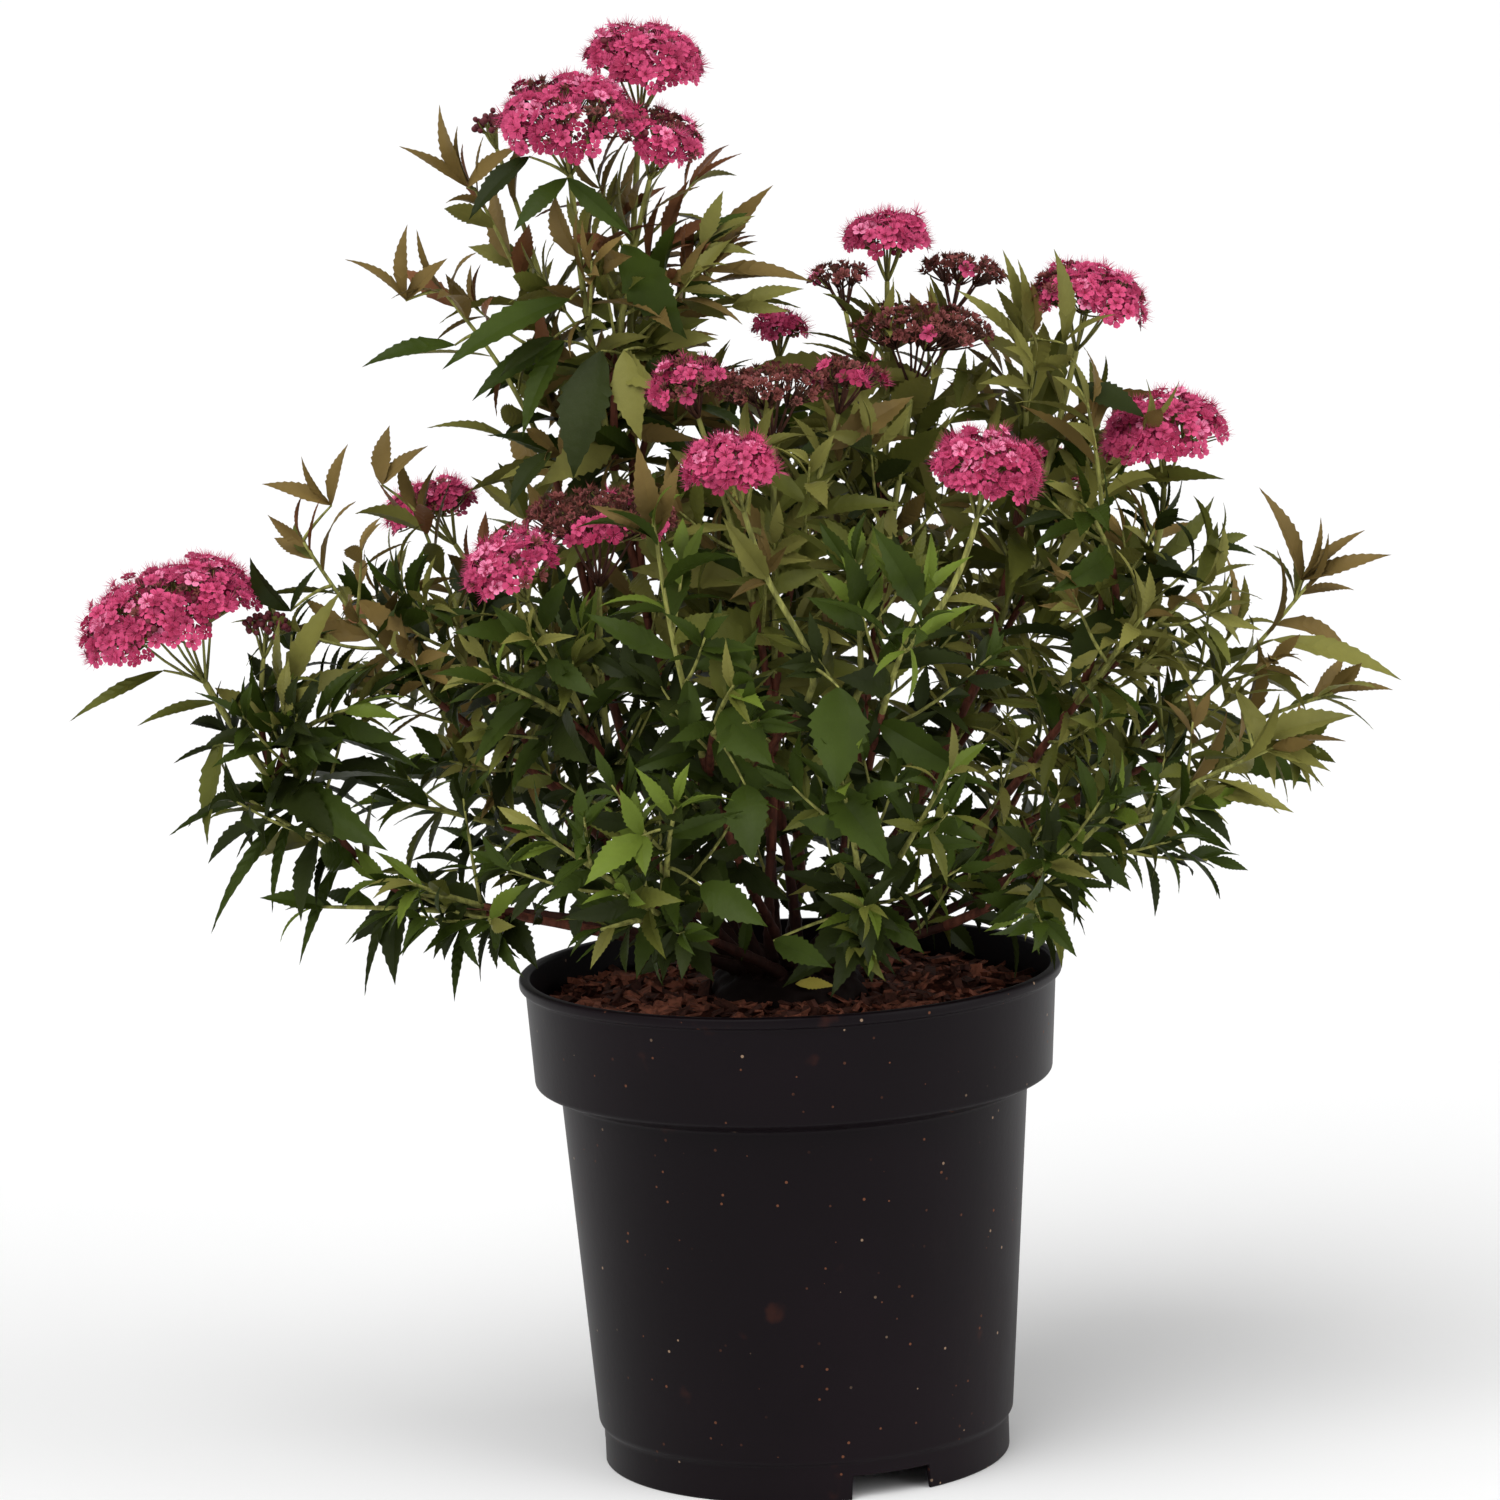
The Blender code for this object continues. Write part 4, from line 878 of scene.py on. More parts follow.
def dome_places(head, cosine, shrink, rng):
    """Places and directions on a low dome made of cushions, one in the middle and a
    ring round it, by the cosine of the angle from its axis and by the golden angle
    round it, how far each place is from the middle of its cushion, and the cushion's
    side fork."""
    count = len(cosine)
    sine = np.sqrt(1 - cosine**2)[:, None]
    first, second, axis = standing_frames(head.axis[None])[0]
    plane = np.stack([first, second])
    flat = polar(1.0, np.arange(count) * GOLDEN_ANGLE) @ plane
    radius = 0.5 * head.spread - FLORET_MARGIN
    across = radius * sine * (shrink * rng.uniform(0.92, 1.06, count))[:, None] * flat
    turn = rng.uniform(0, tau) + circle(CUSHIONS - 1)
    ring = radius * CUSHION_RING * rng.uniform(0.84, 1.1, CUSHIONS - 1)
    hubs = np.concatenate([np.zeros((1, 3)), polar(ring, turn) @ plane])
    gaps = np.linalg.norm(across[:, None] - hubs, axis=2)
    nearest = gaps.argmin(axis=1)
    away = np.clip(gaps.min(axis=1) / (CUSHION_RADIUS * radius), 0, 1.2)
    out = across - hubs[nearest]
    height = head.spread * between(1, FADED_HEIGHT, np.clip(head.fade, 0, 1))
    high = DOME_HEIGHT_SHARE * cosine * shrink - DOME_SUNK_SHARE
    high = height * (high + CUSHION_HEIGHT * (1 - away**2)) + rng.normal(0, DOME_UNEVEN, count)
    centres = head.centre + across - CUSHION_PINCH * out + high[:, None] * axis
    tilt = rng.normal(0, FLORET_TILT, (count, 3))
    ways = 0.7 * sine * flat + (cosine[:, None] + 0.5) * axis + tilt
    ways = unit(ways + CUSHION_FAN * out / (CUSHION_RADIUS * radius))
    tops = head.centre + hubs + 0.5 * DOME_HEIGHT_SHARE * height * axis
    return centres, ways, away, between(head.fork, tops, SUB_FORK_SHARE)[nearest]


def floret_places(heads):
    """Where each floret of each head sits: evenly over a dome, and fewer of them in a
    layer under it, which fill the head. Then the stalk of each cushion."""
    rng = np.random.default_rng(SEED + 1)
    found, stalks = [], []
    for head in heads:
        thinner = 1 - FADED_THINNER * max(0.0, head.fade)
        outer = max(7, round(FLORETS_PER_M2 * thinner * head.spread**2))
        under = round(INNER_SHARE * outer)
        inner = np.arange(outer + under) >= outer
        down = np.concatenate([(np.arange(n) + 0.5) / max(1, n) for n in (outer, under)])
        cosine = between(1, cos(DOME_ANGLE), down)
        centres, ways, away, forks = dome_places(head, cosine, np.where(inner, 0.80, 1.0), rng)
        side = waves(centres, 0.6 * head.spread, int(2000 * head.spread) + 7)
        faded = side * 0.45 + rng.uniform(0, 1, len(side)) * 0.55
        order = np.argsort(np.argsort(faded)) / max(1, len(side) - 1)
        state = np.where(order < head.fade, FADED, OPEN)
        bud = (rng.random(len(side)) < BUD_ODDS) & (state == OPEN) | (head.fade < 0)
        state = np.where(bud, BUD, state)
        foots = centres - ways * FLORET_FOOT
        found.append(Floret(centres, ways, foots, forks, state, inner, away))
        ends = np.unique(forks, axis=0)
        starts = np.broadcast_to(head.fork, ends.shape)
        stalks.append(Stalk(starts, ends, np.full(len(ends), head.fade >= 0.5)))
    return (Floret(*(np.concatenate(column) for column in zip(*found))),
            Stalk(*(np.concatenate(column) for column in zip(*stalks))))


def copies(shape, florets, frames, size, pick):
    """A shape at each of the picked florets."""
    return placed(shape, florets.centres[pick], frames[pick], size[pick])


def stalk_shapes(starts, ends, radius, sides):
    """Thin stalks between points, sagging a little."""
    a, c = starts[:, None], ends[:, None]
    b = (a + c) / 2 - STALK_SAG * np.linalg.norm(c - a, axis=2, keepdims=True) * UP
    paths = bent(a, b, c, np.linspace(0, 1, STALK_RINGS)[:, None])
    return limbs(paths, radius * np.linspace(1.2, 0.8, STALK_RINGS)[:, None], sides)


def head_stalks(florets, chosen, stalks, faded):
    """The chosen florets' stalks, and those of the cushions that are faded or not."""
    pick = stalks.faded == faded
    return joined(
        stalk_shapes(florets.sub_forks[chosen], florets.foots[chosen], FLORET_STALK_RADIUS, 3),
        stalk_shapes(stalks.starts[pick], stalks.ends[pick], CUSHION_STALK_RADIUS, 5),
    )


# Pot, soil and root crown

POT_COLUMNS, CORNER_STEPS, CORNER_RADIUS = 160, 4, 0.0014
NOTCH_EDGE = radians(0.25)
SOIL_ROWS, SOIL_COLUMNS, SOIL_FLAT_RADIUS = 44, 150, 0.070
RIM_SLOPE, CHIP_SPREAD, FALLEN_LEAF = 0.0008, 0.104, (0.002, -0.0290, SOIL_TOP + 0.0098)
POT_SHARP, LEAF_SHARP = radians(40), radians(24)


def rounded(profile):
    """The profile with each inner corner rounded: a quadratic curve between a point
    on either side of it."""
    profile = np.array(profile, float)
    corner = profile[1:-1]
    back, on = profile[:-2] - corner, profile[2:] - corner
    room = 0.45 * np.minimum(np.linalg.norm(back, axis=1), np.linalg.norm(on, axis=1))
    reach = np.minimum(CORNER_RADIUS, room)[:, None]
    start, stop = corner + unit(back) * reach, corner + unit(on) * reach
    t = np.linspace(0, 1, CORNER_STEPS)[:, None]
    curve = bent(start[:, None], corner[:, None], stop[:, None], t)
    return np.concatenate([profile[:1], curve.reshape(-1, 2), profile[-1:]])


def apart(angles, marks):
    """How far each angle is from the nearest of the marks."""
    return np.abs((angles[:, None] - marks + pi) % tau - pi).min(axis=1)


def pot_columns():
    """Angles round the pot, with a pair close together at each side of a notch, and
    which of them are in a notch."""
    half = asin(NOTCH_WIDTH / 2 / FOOT_RADIUS)
    middles = NOTCH_FROM_FRONT - pi / 2 + circle(NOTCHES)
    sides = np.concatenate([middles - half, middles + half])
    even = circle(POT_COLUMNS)
    even = even[apart(even, sides) > 2 * NOTCH_EDGE]
    angles = np.sort(np.concatenate([even, sides - NOTCH_EDGE, sides + NOTCH_EDGE]) % tau)
    return angles, apart(angles, middles) < half


def pot_shape(height, rim_radius, notch_height):
    """The rounded profile turned about Z. In a notch, what is under the notch's
    height is lifted to it."""
    floor_top = FLOOR_UNDERSIDE + POT_WALL
    profile = rounded((
        (0.0005, 0), (BOSS_RADIUS, 0),
        (BOSS_RADIUS + BOSS_SLOPE, FLOOR_UNDERSIDE), (FOOT_RADIUS - POT_WALL, FLOOR_UNDERSIDE),
        (FOOT_RADIUS - POT_WALL, 0), (FOOT_RADIUS, 0), (FOOT_RADIUS, FOOT_TOP),
        (BODY_FOOT_RADIUS, BODY_FOOT), (BODY_TOP_RADIUS, BODY_TOP),
        ((BODY_TOP_RADIUS + COLLAR_FOOT_RADIUS) / 2, BODY_TOP + POT_WALL),
        (COLLAR_FOOT_RADIUS, COLLAR_FOOT), (COLLAR_TOP_RADIUS, height - RIM_HEIGHT),
        (rim_radius, height - RIM_HEIGHT + RIM_SLOPE), (rim_radius, height),
        (COLLAR_TOP_RADIUS - POT_WALL, height),
        (COLLAR_FOOT_RADIUS - POT_WALL, COLLAR_FOOT + POT_WALL),
        (BODY_TOP_RADIUS - POT_WALL, BODY_TOP), (BODY_FOOT_RADIUS - POT_WALL, floor_top),
        (BOSS_RADIUS + BOSS_SLOPE, floor_top), (BOSS_RADIUS - POT_WALL / 2, POT_WALL),
        (0.0005, POT_WALL),
    ))
    angles, in_notch = pot_columns()
    radius, level = profile[:, :1], profile[:, 1:]
    foot_ring = radius > BOSS_RADIUS + 2 * BOSS_SLOPE
    level = np.where(in_notch & foot_ring & (level < notch_height), notch_height, level)
    return skinned(polar(radius, angles, level), POT_WALL * UP, 0 * UP)


def soil_height(places):
    """The soil's level at flat places: a gentle drop to the wall, lumps and crumbs."""
    out = np.linalg.norm(places, axis=-1)
    drop = SOIL_EDGE_DROP * np.clip((out - SOIL_FLAT_RADIUS) / 0.035, 0, 1)
    lumps = 0.0013 * waves(places, 0.032, 5) + 0.0009 * waves(places, 0.011, 6)
    return SOIL_TOP - drop + lumps + 0.0006 * waves(places, 0.0045, 8, count=14)


def on_soil(flat, above=0.0):
    """Flat places with the soil's level added."""
    return np.concatenate([flat, (soil_height(flat) + above)[..., None]], -1)


def soil_shape():
    """A disc of soil on rings from its edge inwards, the first turned down along the
    wall."""
    edge_level = SOIL_TOP - SOIL_EDGE_DROP
    rise = (edge_level - COLLAR_FOOT) / (POT_HEIGHT - COLLAR_FOOT)
    edge = between(COLLAR_FOOT_RADIUS, COLLAR_TOP_RADIUS, rise) - POT_WALL - GAP
    turn = circle(SOIL_COLUMNS)
    rim = polar(0.985 * edge, turn, edge_level - 0.012)
    disc = on_soil(polar(np.linspace(edge, 0.0012, SOIL_ROWS)[:, None], turn))
    return skinned(np.concatenate([rim[None], disc]), on_soil(np.zeros(2)))


def chip_shapes(count, length, seed):
    """Shreds of bark lying on the soil: uneven six-faced slabs, turned and tilted."""
    rng = np.random.default_rng(seed)
    corners = np.array([[x, y, z] for z in (-1, 1) for y in (-1, 1) for x in (-1, 1)], float)
    faces = [(0, 2, 3, 1), (4, 5, 7, 6), (0, 1, 5, 4), (2, 6, 7, 3), (0, 4, 6, 2), (1, 3, 7, 5)]
    out = CHIP_SPREAD * np.sqrt(rng.uniform(0.03, 1, count))
    flat = polar(out, rng.uniform(0, tau, count))
    long = length * rng.uniform(0.45, 1.2, count)
    wide = long * rng.uniform(0.10, 0.26, count)
    half = np.stack([long / 2, wide, rng.uniform(0.0004, 0.0011, count)], -1)
    leans = [rng.normal(0, 0.34, count), rng.normal(0, 0.34, count)]
    ways = unit(np.stack([*leans, np.ones(count)], -1))
    frames = standing_frames(ways, rng.uniform(0, tau, count))
    body = corners * half[:, None] * rng.uniform(0.62, 1.25, (count, 8, 3))
    centres = on_soil(flat, rng.uniform(0.0002, 0.0016, count))
    return repeated(centres[:, None] + body @ frames, faces, NO_TRIANGLES)


def root_crown_shape(rows=26, columns=72):
    """A low dome with a flat top and knobs all over."""
    s = np.linspace(0, 1, rows)[:, None]
    angle = circle(columns)
    level = SOIL_TOP - 0.004 + (CROWN_HEIGHT + 0.005) * np.sin(s * pi / 2) ** 0.9
    places = polar(1.0, angle, 0.6 * s)
    knobs = 1 + 0.07 * waves(places, 0.8, 21) + 0.07 * waves(places, 0.28, 22)
    radius = (0.0315 * np.cos(s * pi / 2) ** 0.40 + 0.0004) * knobs
    return skinned(polar(radius, angle, level), level[-1] * UP)


def bough_shapes(rings=60, sides=14, scar_pitch=0.0115):
    """Every bough, with a flare at its foot, leaf scars and ridges."""
    paths = np.array([finer(path, rings) for path in bough_paths().values()])
    paths[:, 0] -= 0.003 * UP
    s = np.linspace(0, 1, rings)[:, None]
    along = s * np.array([steps(path).sum() for path in paths])[:, None, None]
    scars = 0.16 * np.exp(-(((along / scar_pitch) % 1.0 - 0.5) ** 2) / 0.012)
    around = polar(1.0, circle(sides), along * 40 + np.arange(len(paths))[:, None, None])
    ridges = 0.10 * waves(around, 1.1, 31) + 0.06 * waves(around, 0.5, 32)
    flare = 0.35 * np.exp(-along / 0.006)
    radii = between(BOUGH_FOOT_RADIUS, BOUGH_TIP_RADIUS, s) * (1 + scars + ridges + flare)
    return limbs(paths, radii, sides)


# Materials

# Heights over which the painted shade at the foot of the boughs and root crown fades out, darkest below the
# first
FOOT_SHADE_HEIGHTS = (0.200, 0.262)
SMUDGE, SPECK, PALE_SPECK = (0.036, 0.010, 0.006), (0.16, 0.060, 0.030), (0.30, 0.20, 0.13)


def math_node(operation, swapped=False):
    """What a Value does for one Python operator: it adds one Math node."""

    def operate(value, other):
        pair = (other, value) if swapped else (value, other)
        sockets = dict(enumerate(pair))
        return value.paint.node("ShaderNodeMath", {"operation": operation}, sockets)

    return operate


class Value:
    """A shader socket that takes part in Python arithmetic. Each sum, difference,
    product or comparison adds one Math node."""

    def __init__(self, paint, socket):
        self.paint, self.socket = paint, socket

    __add__, __radd__ = math_node("ADD"), math_node("ADD", swapped=True)
    __sub__, __rsub__ = math_node("SUBTRACT"), math_node("SUBTRACT", swapped=True)
    __mul__, __rmul__ = math_node("MULTIPLY"), math_node("MULTIPLY", swapped=True)
    __lt__ = math_node("LESS_THAN")


class Paint:
    """One material, built up from nodes round its Principled shader."""

    def __init__(self, name, roughness, gloss=0.5):
        old = bpy.data.materials.get(name)
        if old:
            bpy.data.materials.remove(old)
        self.material = bpy.data.materials.new(name)
        self.material.use_nodes = True
        self.tree = self.material.node_tree
        self.shader = self.tree.nodes["Principled BSDF"]
        self.set("Roughness", roughness)
        self.set("Specular IOR Level", gloss)
        self.place = self.node("ShaderNodeTexCoord", {}, {}, "Object")

    def node(self, kind, settings, values, output=0):
        """A node with its settings, then the values or links of its sockets."""
        made = self.tree.nodes.new(kind)
        for name, value in settings.items():
            setattr(made, name, value)
        for socket, value in values.items():
            self.feed(made.inputs[socket], value)
        return Value(self, made.outputs[output])

    def feed(self, socket, value):
        if isinstance(value, Value):
            self.tree.links.new(value.socket, socket)
        elif socket.type == "RGBA":
            socket.default_value = (*value[:3], 1.0)
        else:
            socket.default_value = value

    def set(self, name, value):
        self.feed(self.shader.inputs[name], value)

    def noise(self, scale, detail=4.0, roughness=0.55, stretch=(1, 1, 1)):
        """Cloudy noise from 0 to 1 on Object coordinates, drawn out along an axis."""
        place = self.node("ShaderNodeMapping", {}, {"Vector": self.place, "Scale": stretch})
        values = {"Vector": place, "Scale": scale, "Detail": detail, "Roughness": roughness}
        return self.node("ShaderNodeTexNoise", {}, values, "Fac")

    def height(self):
        """The height above the floor."""
        return self.node("ShaderNodeSeparateXYZ", {}, {"Vector": self.place}, "Z")

    def cells(self, scale):
        """The distance to the nearest of scattered points, 0 at a point."""
        values = {"Vector": self.place, "Scale": scale, "Randomness": 1.0}
        return self.node("ShaderNodeTexVoronoi", {}, values, "Distance")

    def ramp(self, value, low, high):
        """From 0 at the low value to 1 at the high one, smoothly."""
        values = {"Value": value, "From Min": low, "From Max": high}
        return self.node("ShaderNodeMapRange", {"interpolation_type": "SMOOTHSTEP"}, values)

    def mix(self, share, first, second):
        """The first colour where the share is 0, and the second where it is 1."""
        return self.node("ShaderNodeMix", {"data_type": "RGBA"}, {0: share, 6: first, 7: second}, 2)

    def shades(self, share, colour, low, high):
        """The colour times a low factor where the share is 0, and a high one where it
        is 1."""
        return self.mix(share, shade(colour, low), shade(colour, high))

    def finish(self, colour, roughness, height, strength, depth):
        """The material with this colour, roughness and relief."""
        values = {"Height": height, "Strength": strength, "Distance": depth}
        self.set("Base Color", colour)
        self.set("Roughness", roughness)
        self.set("Normal", self.node("ShaderNodeBump", {}, values))
        return self.material


def shade(colour, factor):
    return tuple(min(1.0, channel * factor) for channel in colour)


def pot_plastic(colour, dirt):
    """Black moulded plastic, cloudy and a little scuffed, with specks of soil."""
    paint = Paint("pot_plastic", 0.42, 0.10)
    cloud = paint.noise(9.0, 5.0)
    film = paint.ramp(paint.noise(17.0, 6.0, 0.62, (1, 1, 0.35)), 0.58, 0.86) * 0.35
    smudge = paint.ramp(paint.noise(46.0, 3.0), 0.67, 0.78)
    speck = (paint.cells(150.0) < 0.09) * paint.ramp(paint.noise(30.0, 2.0), 0.44, 0.60)
    pale = (paint.cells(95.0) < 0.06) * paint.ramp(paint.noise(21.0, 2.0), 0.42, 0.56)
    base = paint.shades(paint.ramp(cloud, 0.35, 0.75), colour, 0.82, 1.35)
    base = paint.mix(film, base, dirt)
    base = paint.mix(smudge * 0.6, base, SMUDGE)
    base = paint.mix(speck * 0.8, base, SPECK)
    base = paint.mix(pale * 0.85, base, PALE_SPECK)
    roughness = 0.36 + 0.16 * cloud + 0.3 * film + 0.2 * speck
    relief = paint.noise(420.0, 3.0) * 0.5 + paint.noise(60.0, 3.0, 0.5, (1, 1, 0.2))
    return paint.finish(base, roughness, relief, 0.12, 0.0006)


def soil_finish(name, colour, pale):
    """Moist bark compost: dark crumbs with some that are drier and redder."""
    paint = Paint(name, 0.9, 0.08)
    crumbs = paint.noise(240.0, 6.0, 0.68)
    tone = paint.shades(paint.ramp(crumbs, 0.40, 0.68), colour, 0.55, 1.25)
    dry = paint.ramp(paint.noise(52.0, 4.0), 0.52, 0.70)
    relief = crumbs + 0.6 * paint.noise(700.0, 3.0)
    return paint.finish(paint.mix(dry * 0.55, tone, pale), 0.80 + 0.18 * crumbs, relief, 0.8, 0.0016)


def bark_finish(name, colour, pale, painted_foot_shade=False):
    """Thin bark: fine lengthwise grain, darker in its cracks, with pale scuffs, and,
    where asked, painted shade that darkens it towards its foot, low under the crown."""
    paint = Paint(name, 0.7, 0.15)
    grain = paint.noise(330.0, 5.0, 0.62, (1, 1, 0.22))
    tone = paint.shades(paint.ramp(grain, 0.34, 0.66), colour, 0.5, 1.3)
    scuff = paint.ramp(paint.noise(120.0, 4.0), 0.60, 0.78)
    tone = paint.mix(scuff * 0.5, tone, pale)
    if painted_foot_shade:
        # Painted shade: below FOOT_SHADE_HEIGHTS the bark is mixed towards about a fifth of its colour, low
        # in the crown's shade
        tone = paint.mix(paint.ramp(paint.height(), *FOOT_SHADE_HEIGHTS), shade(colour, 0.22), tone)
    return paint.finish(tone, 0.58 + 0.22 * grain, grain, 0.5, 0.0007)


def leaf_finish(name, colour):
    """A leaf's surface: plain in colour, a little lighter and darker in the large,
    with a soft gloss that its fine grain breaks up."""
    paint = Paint(name, 0.48, 0.09)
    broad = paint.ramp(paint.noise(26.0, 3.0), 0.32, 0.68)
    fine = paint.noise(460.0, 4.0, 0.6)
    tone = paint.mix(fine * 0.35, paint.shades(broad, colour, 0.78, 1.22), shade(colour, 0.7))
    return paint.finish(tone, 0.34 + 0.20 * fine, fine, 0.35, 0.0004)


def petal_finish(name, colour, roughness=0.6):
    """A petal's soft surface, faintly streaked."""
    paint = Paint(name, roughness, 0.25)
    streak = paint.noise(900.0, 3.0)
    cloud = paint.ramp(paint.noise(120.0, 3.0), 0.3, 0.7)
    tone = paint.mix(streak * 0.3, paint.shades(cloud, colour, 0.84, 1.14), shade(colour, 0.75))
    return paint.finish(tone, roughness - 0.08 + 0.16 * streak, streak, 0.25, 0.0003)


# Pieces


def put(name, shape, finish, sharp=None):
    """Makes one piece from (points, quads, triangles), at the origin, riding on the
    plant's body. Faces meet sharply past an angle, or everywhere where it is 0."""
    old = bpy.data.objects.get(name)
    if old:
        bpy.data.objects.remove(old)
    points, quads, triangles = shape
    if not len(points):
        raise RuntimeError(f"{name} has no shape")
    mesh = bpy.data.meshes.new(name)
    mesh.vertices.add(len(points))
    mesh.vertices.foreach_set("co", np.asarray(points, np.float32).ravel())
    corners = np.concatenate([quads.ravel(), triangles.ravel()]).astype(np.int32)
    sizes = np.repeat([4, 3], [len(quads), len(triangles)])
    mesh.loops.add(len(corners))
    mesh.loops.foreach_set("vertex_index", corners)
    mesh.polygons.add(len(sizes))
    mesh.polygons.foreach_set("loop_start", (np.cumsum(sizes) - sizes).astype(np.int32))
    mesh.update(calc_edges=True)
    mesh.validate()
    if sharp == 0:
        mesh.shade_flat()
    else:
        mesh.shade_smooth()
    if sharp:
        mesh.set_sharp_from_angle(angle=sharp)
    mesh.materials.append(finish)
    thing = bpy.data.objects.new(name, mesh)
    bpy.context.scene.collection.objects.link(thing)
    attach(thing, BODY)
    return thing


def nodes_named(start):
    return sorted(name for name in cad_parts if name.startswith(start))


# Settings


def length(name, description, default):
    return bpy.props.FloatProperty(
        name=name, description=description, default=default, min=0.0, unit="LENGTH", precision=4
    )


def share(name, description, default):
    return bpy.props.FloatProperty(
        name=name, description=description, default=default, min=0.0, max=4.0, subtype="FACTOR"
    )


def colour(name, description, default):
    return bpy.props.FloatVectorProperty(
        name=name, description=description, default=default, size=3, min=0.0, max=1.0,
        subtype="COLOR",
    )


def whole(name, description, default):
    return bpy.props.IntProperty(name=name, description=description, default=default, min=1)


class SPIREA_PG_pot(bpy.types.PropertyGroup):
    height: length("Height", "Height of the pot to the top of its rim", POT_HEIGHT)
    rim_radius: length("Rim radius", "Outer radius of the rim's lip", 0.1125)
    notch_height: length("Notch height", "Height of the drain notches in the foot", 0.010)
    plastic: colour("Plastic", "Colour of the black plastic", (0.0044, 0.0020, 0.0034))
    dirt: colour("Dirt", "Colour of the thin film of soil", (0.022, 0.015, 0.013))


class SPIREA_PG_soil(bpy.types.PropertyGroup):
    chip_count: whole("Chips", "Bark chips of each colour on the soil", 620)
    chip_length: length("Chip length", "Usual length of a bark chip", 0.0105)
    compost: colour("Compost", "Colour of the moist compost", (0.070, 0.020, 0.012))
    dry_compost: colour("Dry compost", "Colour of its drier crumbs", (0.092, 0.037, 0.024))
    red_chip: colour("Red chips", "Colour of the redder bark chips", (0.240, 0.082, 0.048))
    dark_chip: colour("Dark chips", "Colour of the darker bark chips", (0.074, 0.027, 0.018))
    fallen_leaf: colour("Fallen leaf", "Colour of the yellow leaf on the soil", (0.50, 0.42, 0.08))


class SPIREA_PG_wood(bpy.types.PropertyGroup):
    bark: colour("Bark", "Colour of the boughs' bark", (0.072, 0.023, 0.015))
    pale_bark: colour("Pale bark", "Colour of its scuffs", (0.170, 0.080, 0.050))
    red_twig: colour("Red twigs", "Colour of the woody twigs", (0.120, 0.038, 0.022))
    green_twig: colour("Green twigs", "Colour of the young twigs", (0.260, 0.260, 0.070))


class SPIREA_PG_leaves(bpy.types.PropertyGroup):
    leaf_length: length("Leaf length", "Length of a full-grown leaf", 0.050)
    leaf_width: share("Leaf width", "Width of a leaf as a share of its length", 0.30)
    leaf_pitch: length("Leaf pitch", "Distance between leaves along a twig", 0.0105)
    shoot_pitch: length("Shoot pitch", "Distance between side shoots", 0.0195)
    dark: colour("Old leaves", "Colour of the old inner leaves", (0.022, 0.030, 0.006))
    mid: colour("Full-grown leaves", "Colour of the full-grown leaves", (0.036, 0.055, 0.007))
    moss: colour("Lighter leaves", "Colour of the lighter full-grown leaves", (0.102, 0.109, 0.020))
    olive: colour("Outer leaves", "Colour of the outer leaves", (0.176, 0.168, 0.040))
    bronze: colour("Young leaves", "Colour of the young bronze leaves", (0.178, 0.120, 0.037))
    rust: colour("Youngest leaves", "Colour of the youngest leaves", (0.190, 0.080, 0.034))
    fresh: colour("Fresh leaves", "Colour of the fresh green leaves", (0.120, 0.165, 0.022))


class SPIREA_PG_flowers(bpy.types.PropertyGroup):
    floret_radius: length("Floret radius", "Radius of an open floret", 0.0037)
    bright: colour("Petals", "Colour of most petals", (0.600, 0.066, 0.180))
    # Partly a painted highlight: the palest petals sit mostly on the tops of the cushions
    pale: colour("Pale petals", "Colour of the palest petals", (0.820, 0.230, 0.400))
    # Painted shade: these petals fill the valleys between cushions and the hidden layer under the dome
    deep: colour("Deep petals", "Colour of the deepest petals", (0.350, 0.020, 0.078))
    eye: colour("Eyes", "Colour of the florets' middles", (0.220, 0.010, 0.036))
    stamen: colour("Stamens", "Colour of the stamens", (0.560, 0.066, 0.180))
    faded_petal: colour("Faded petals", "Colour of the faded petals", (0.210, 0.056, 0.054))
    brown_case: colour("Brown cases", "Colour of the brown seed cases", (0.084, 0.032, 0.020))
    red_case: colour("Red cases", "Colour of the redder seed cases", (0.165, 0.044, 0.034))
    bud: colour("Buds", "Colour of the closed buds", (0.130, 0.022, 0.030))


class SPIREA_PG_stage(bpy.types.PropertyGroup):
    floor: colour("Floor", "Colour of the plain floor", (0.90, 0.90, 0.90))
    sky_strength: share("Sky", "Strength of the even light from all round", 0.38)
    key_power: share("Key light", "Strength of the large soft light", 2.3)
    fill_power: share("Fill light", "Strength of the light on the other side", 1.7)


SETTINGS = {
    "spirea_pot": SPIREA_PG_pot,
    "spirea_soil": SPIREA_PG_soil,
    "spirea_wood": SPIREA_PG_wood,
    "spirea_leaves": SPIREA_PG_leaves,
    "spirea_flowers": SPIREA_PG_flowers,
    "spirea_stage": SPIREA_PG_stage,
}


def growth(context):
    """The shrub's growth for the leaf settings."""
    leaves = context.scene.spirea_leaves
    return grown(leaves.leaf_length, leaves.leaf_pitch, leaves.shoot_pitch, leaves.leaf_width)


# Operators


class SPIREA_OT_pot(bpy.types.Operator):
    """Make the moulded nursery pot with its deep collar and drain notches"""

    bl_idname = "spirea.pot"
    bl_label = "Pot"

    def execute(self, context):
        settings = context.scene.spirea_pot
        shape = pot_shape(settings.height, settings.rim_radius, settings.notch_height)
        finish = pot_plastic(settings.plastic, settings.dirt)
        pot = put("nursery_pot", shape, finish, POT_SHARP)
        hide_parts("pot")
        return {"FINISHED"}


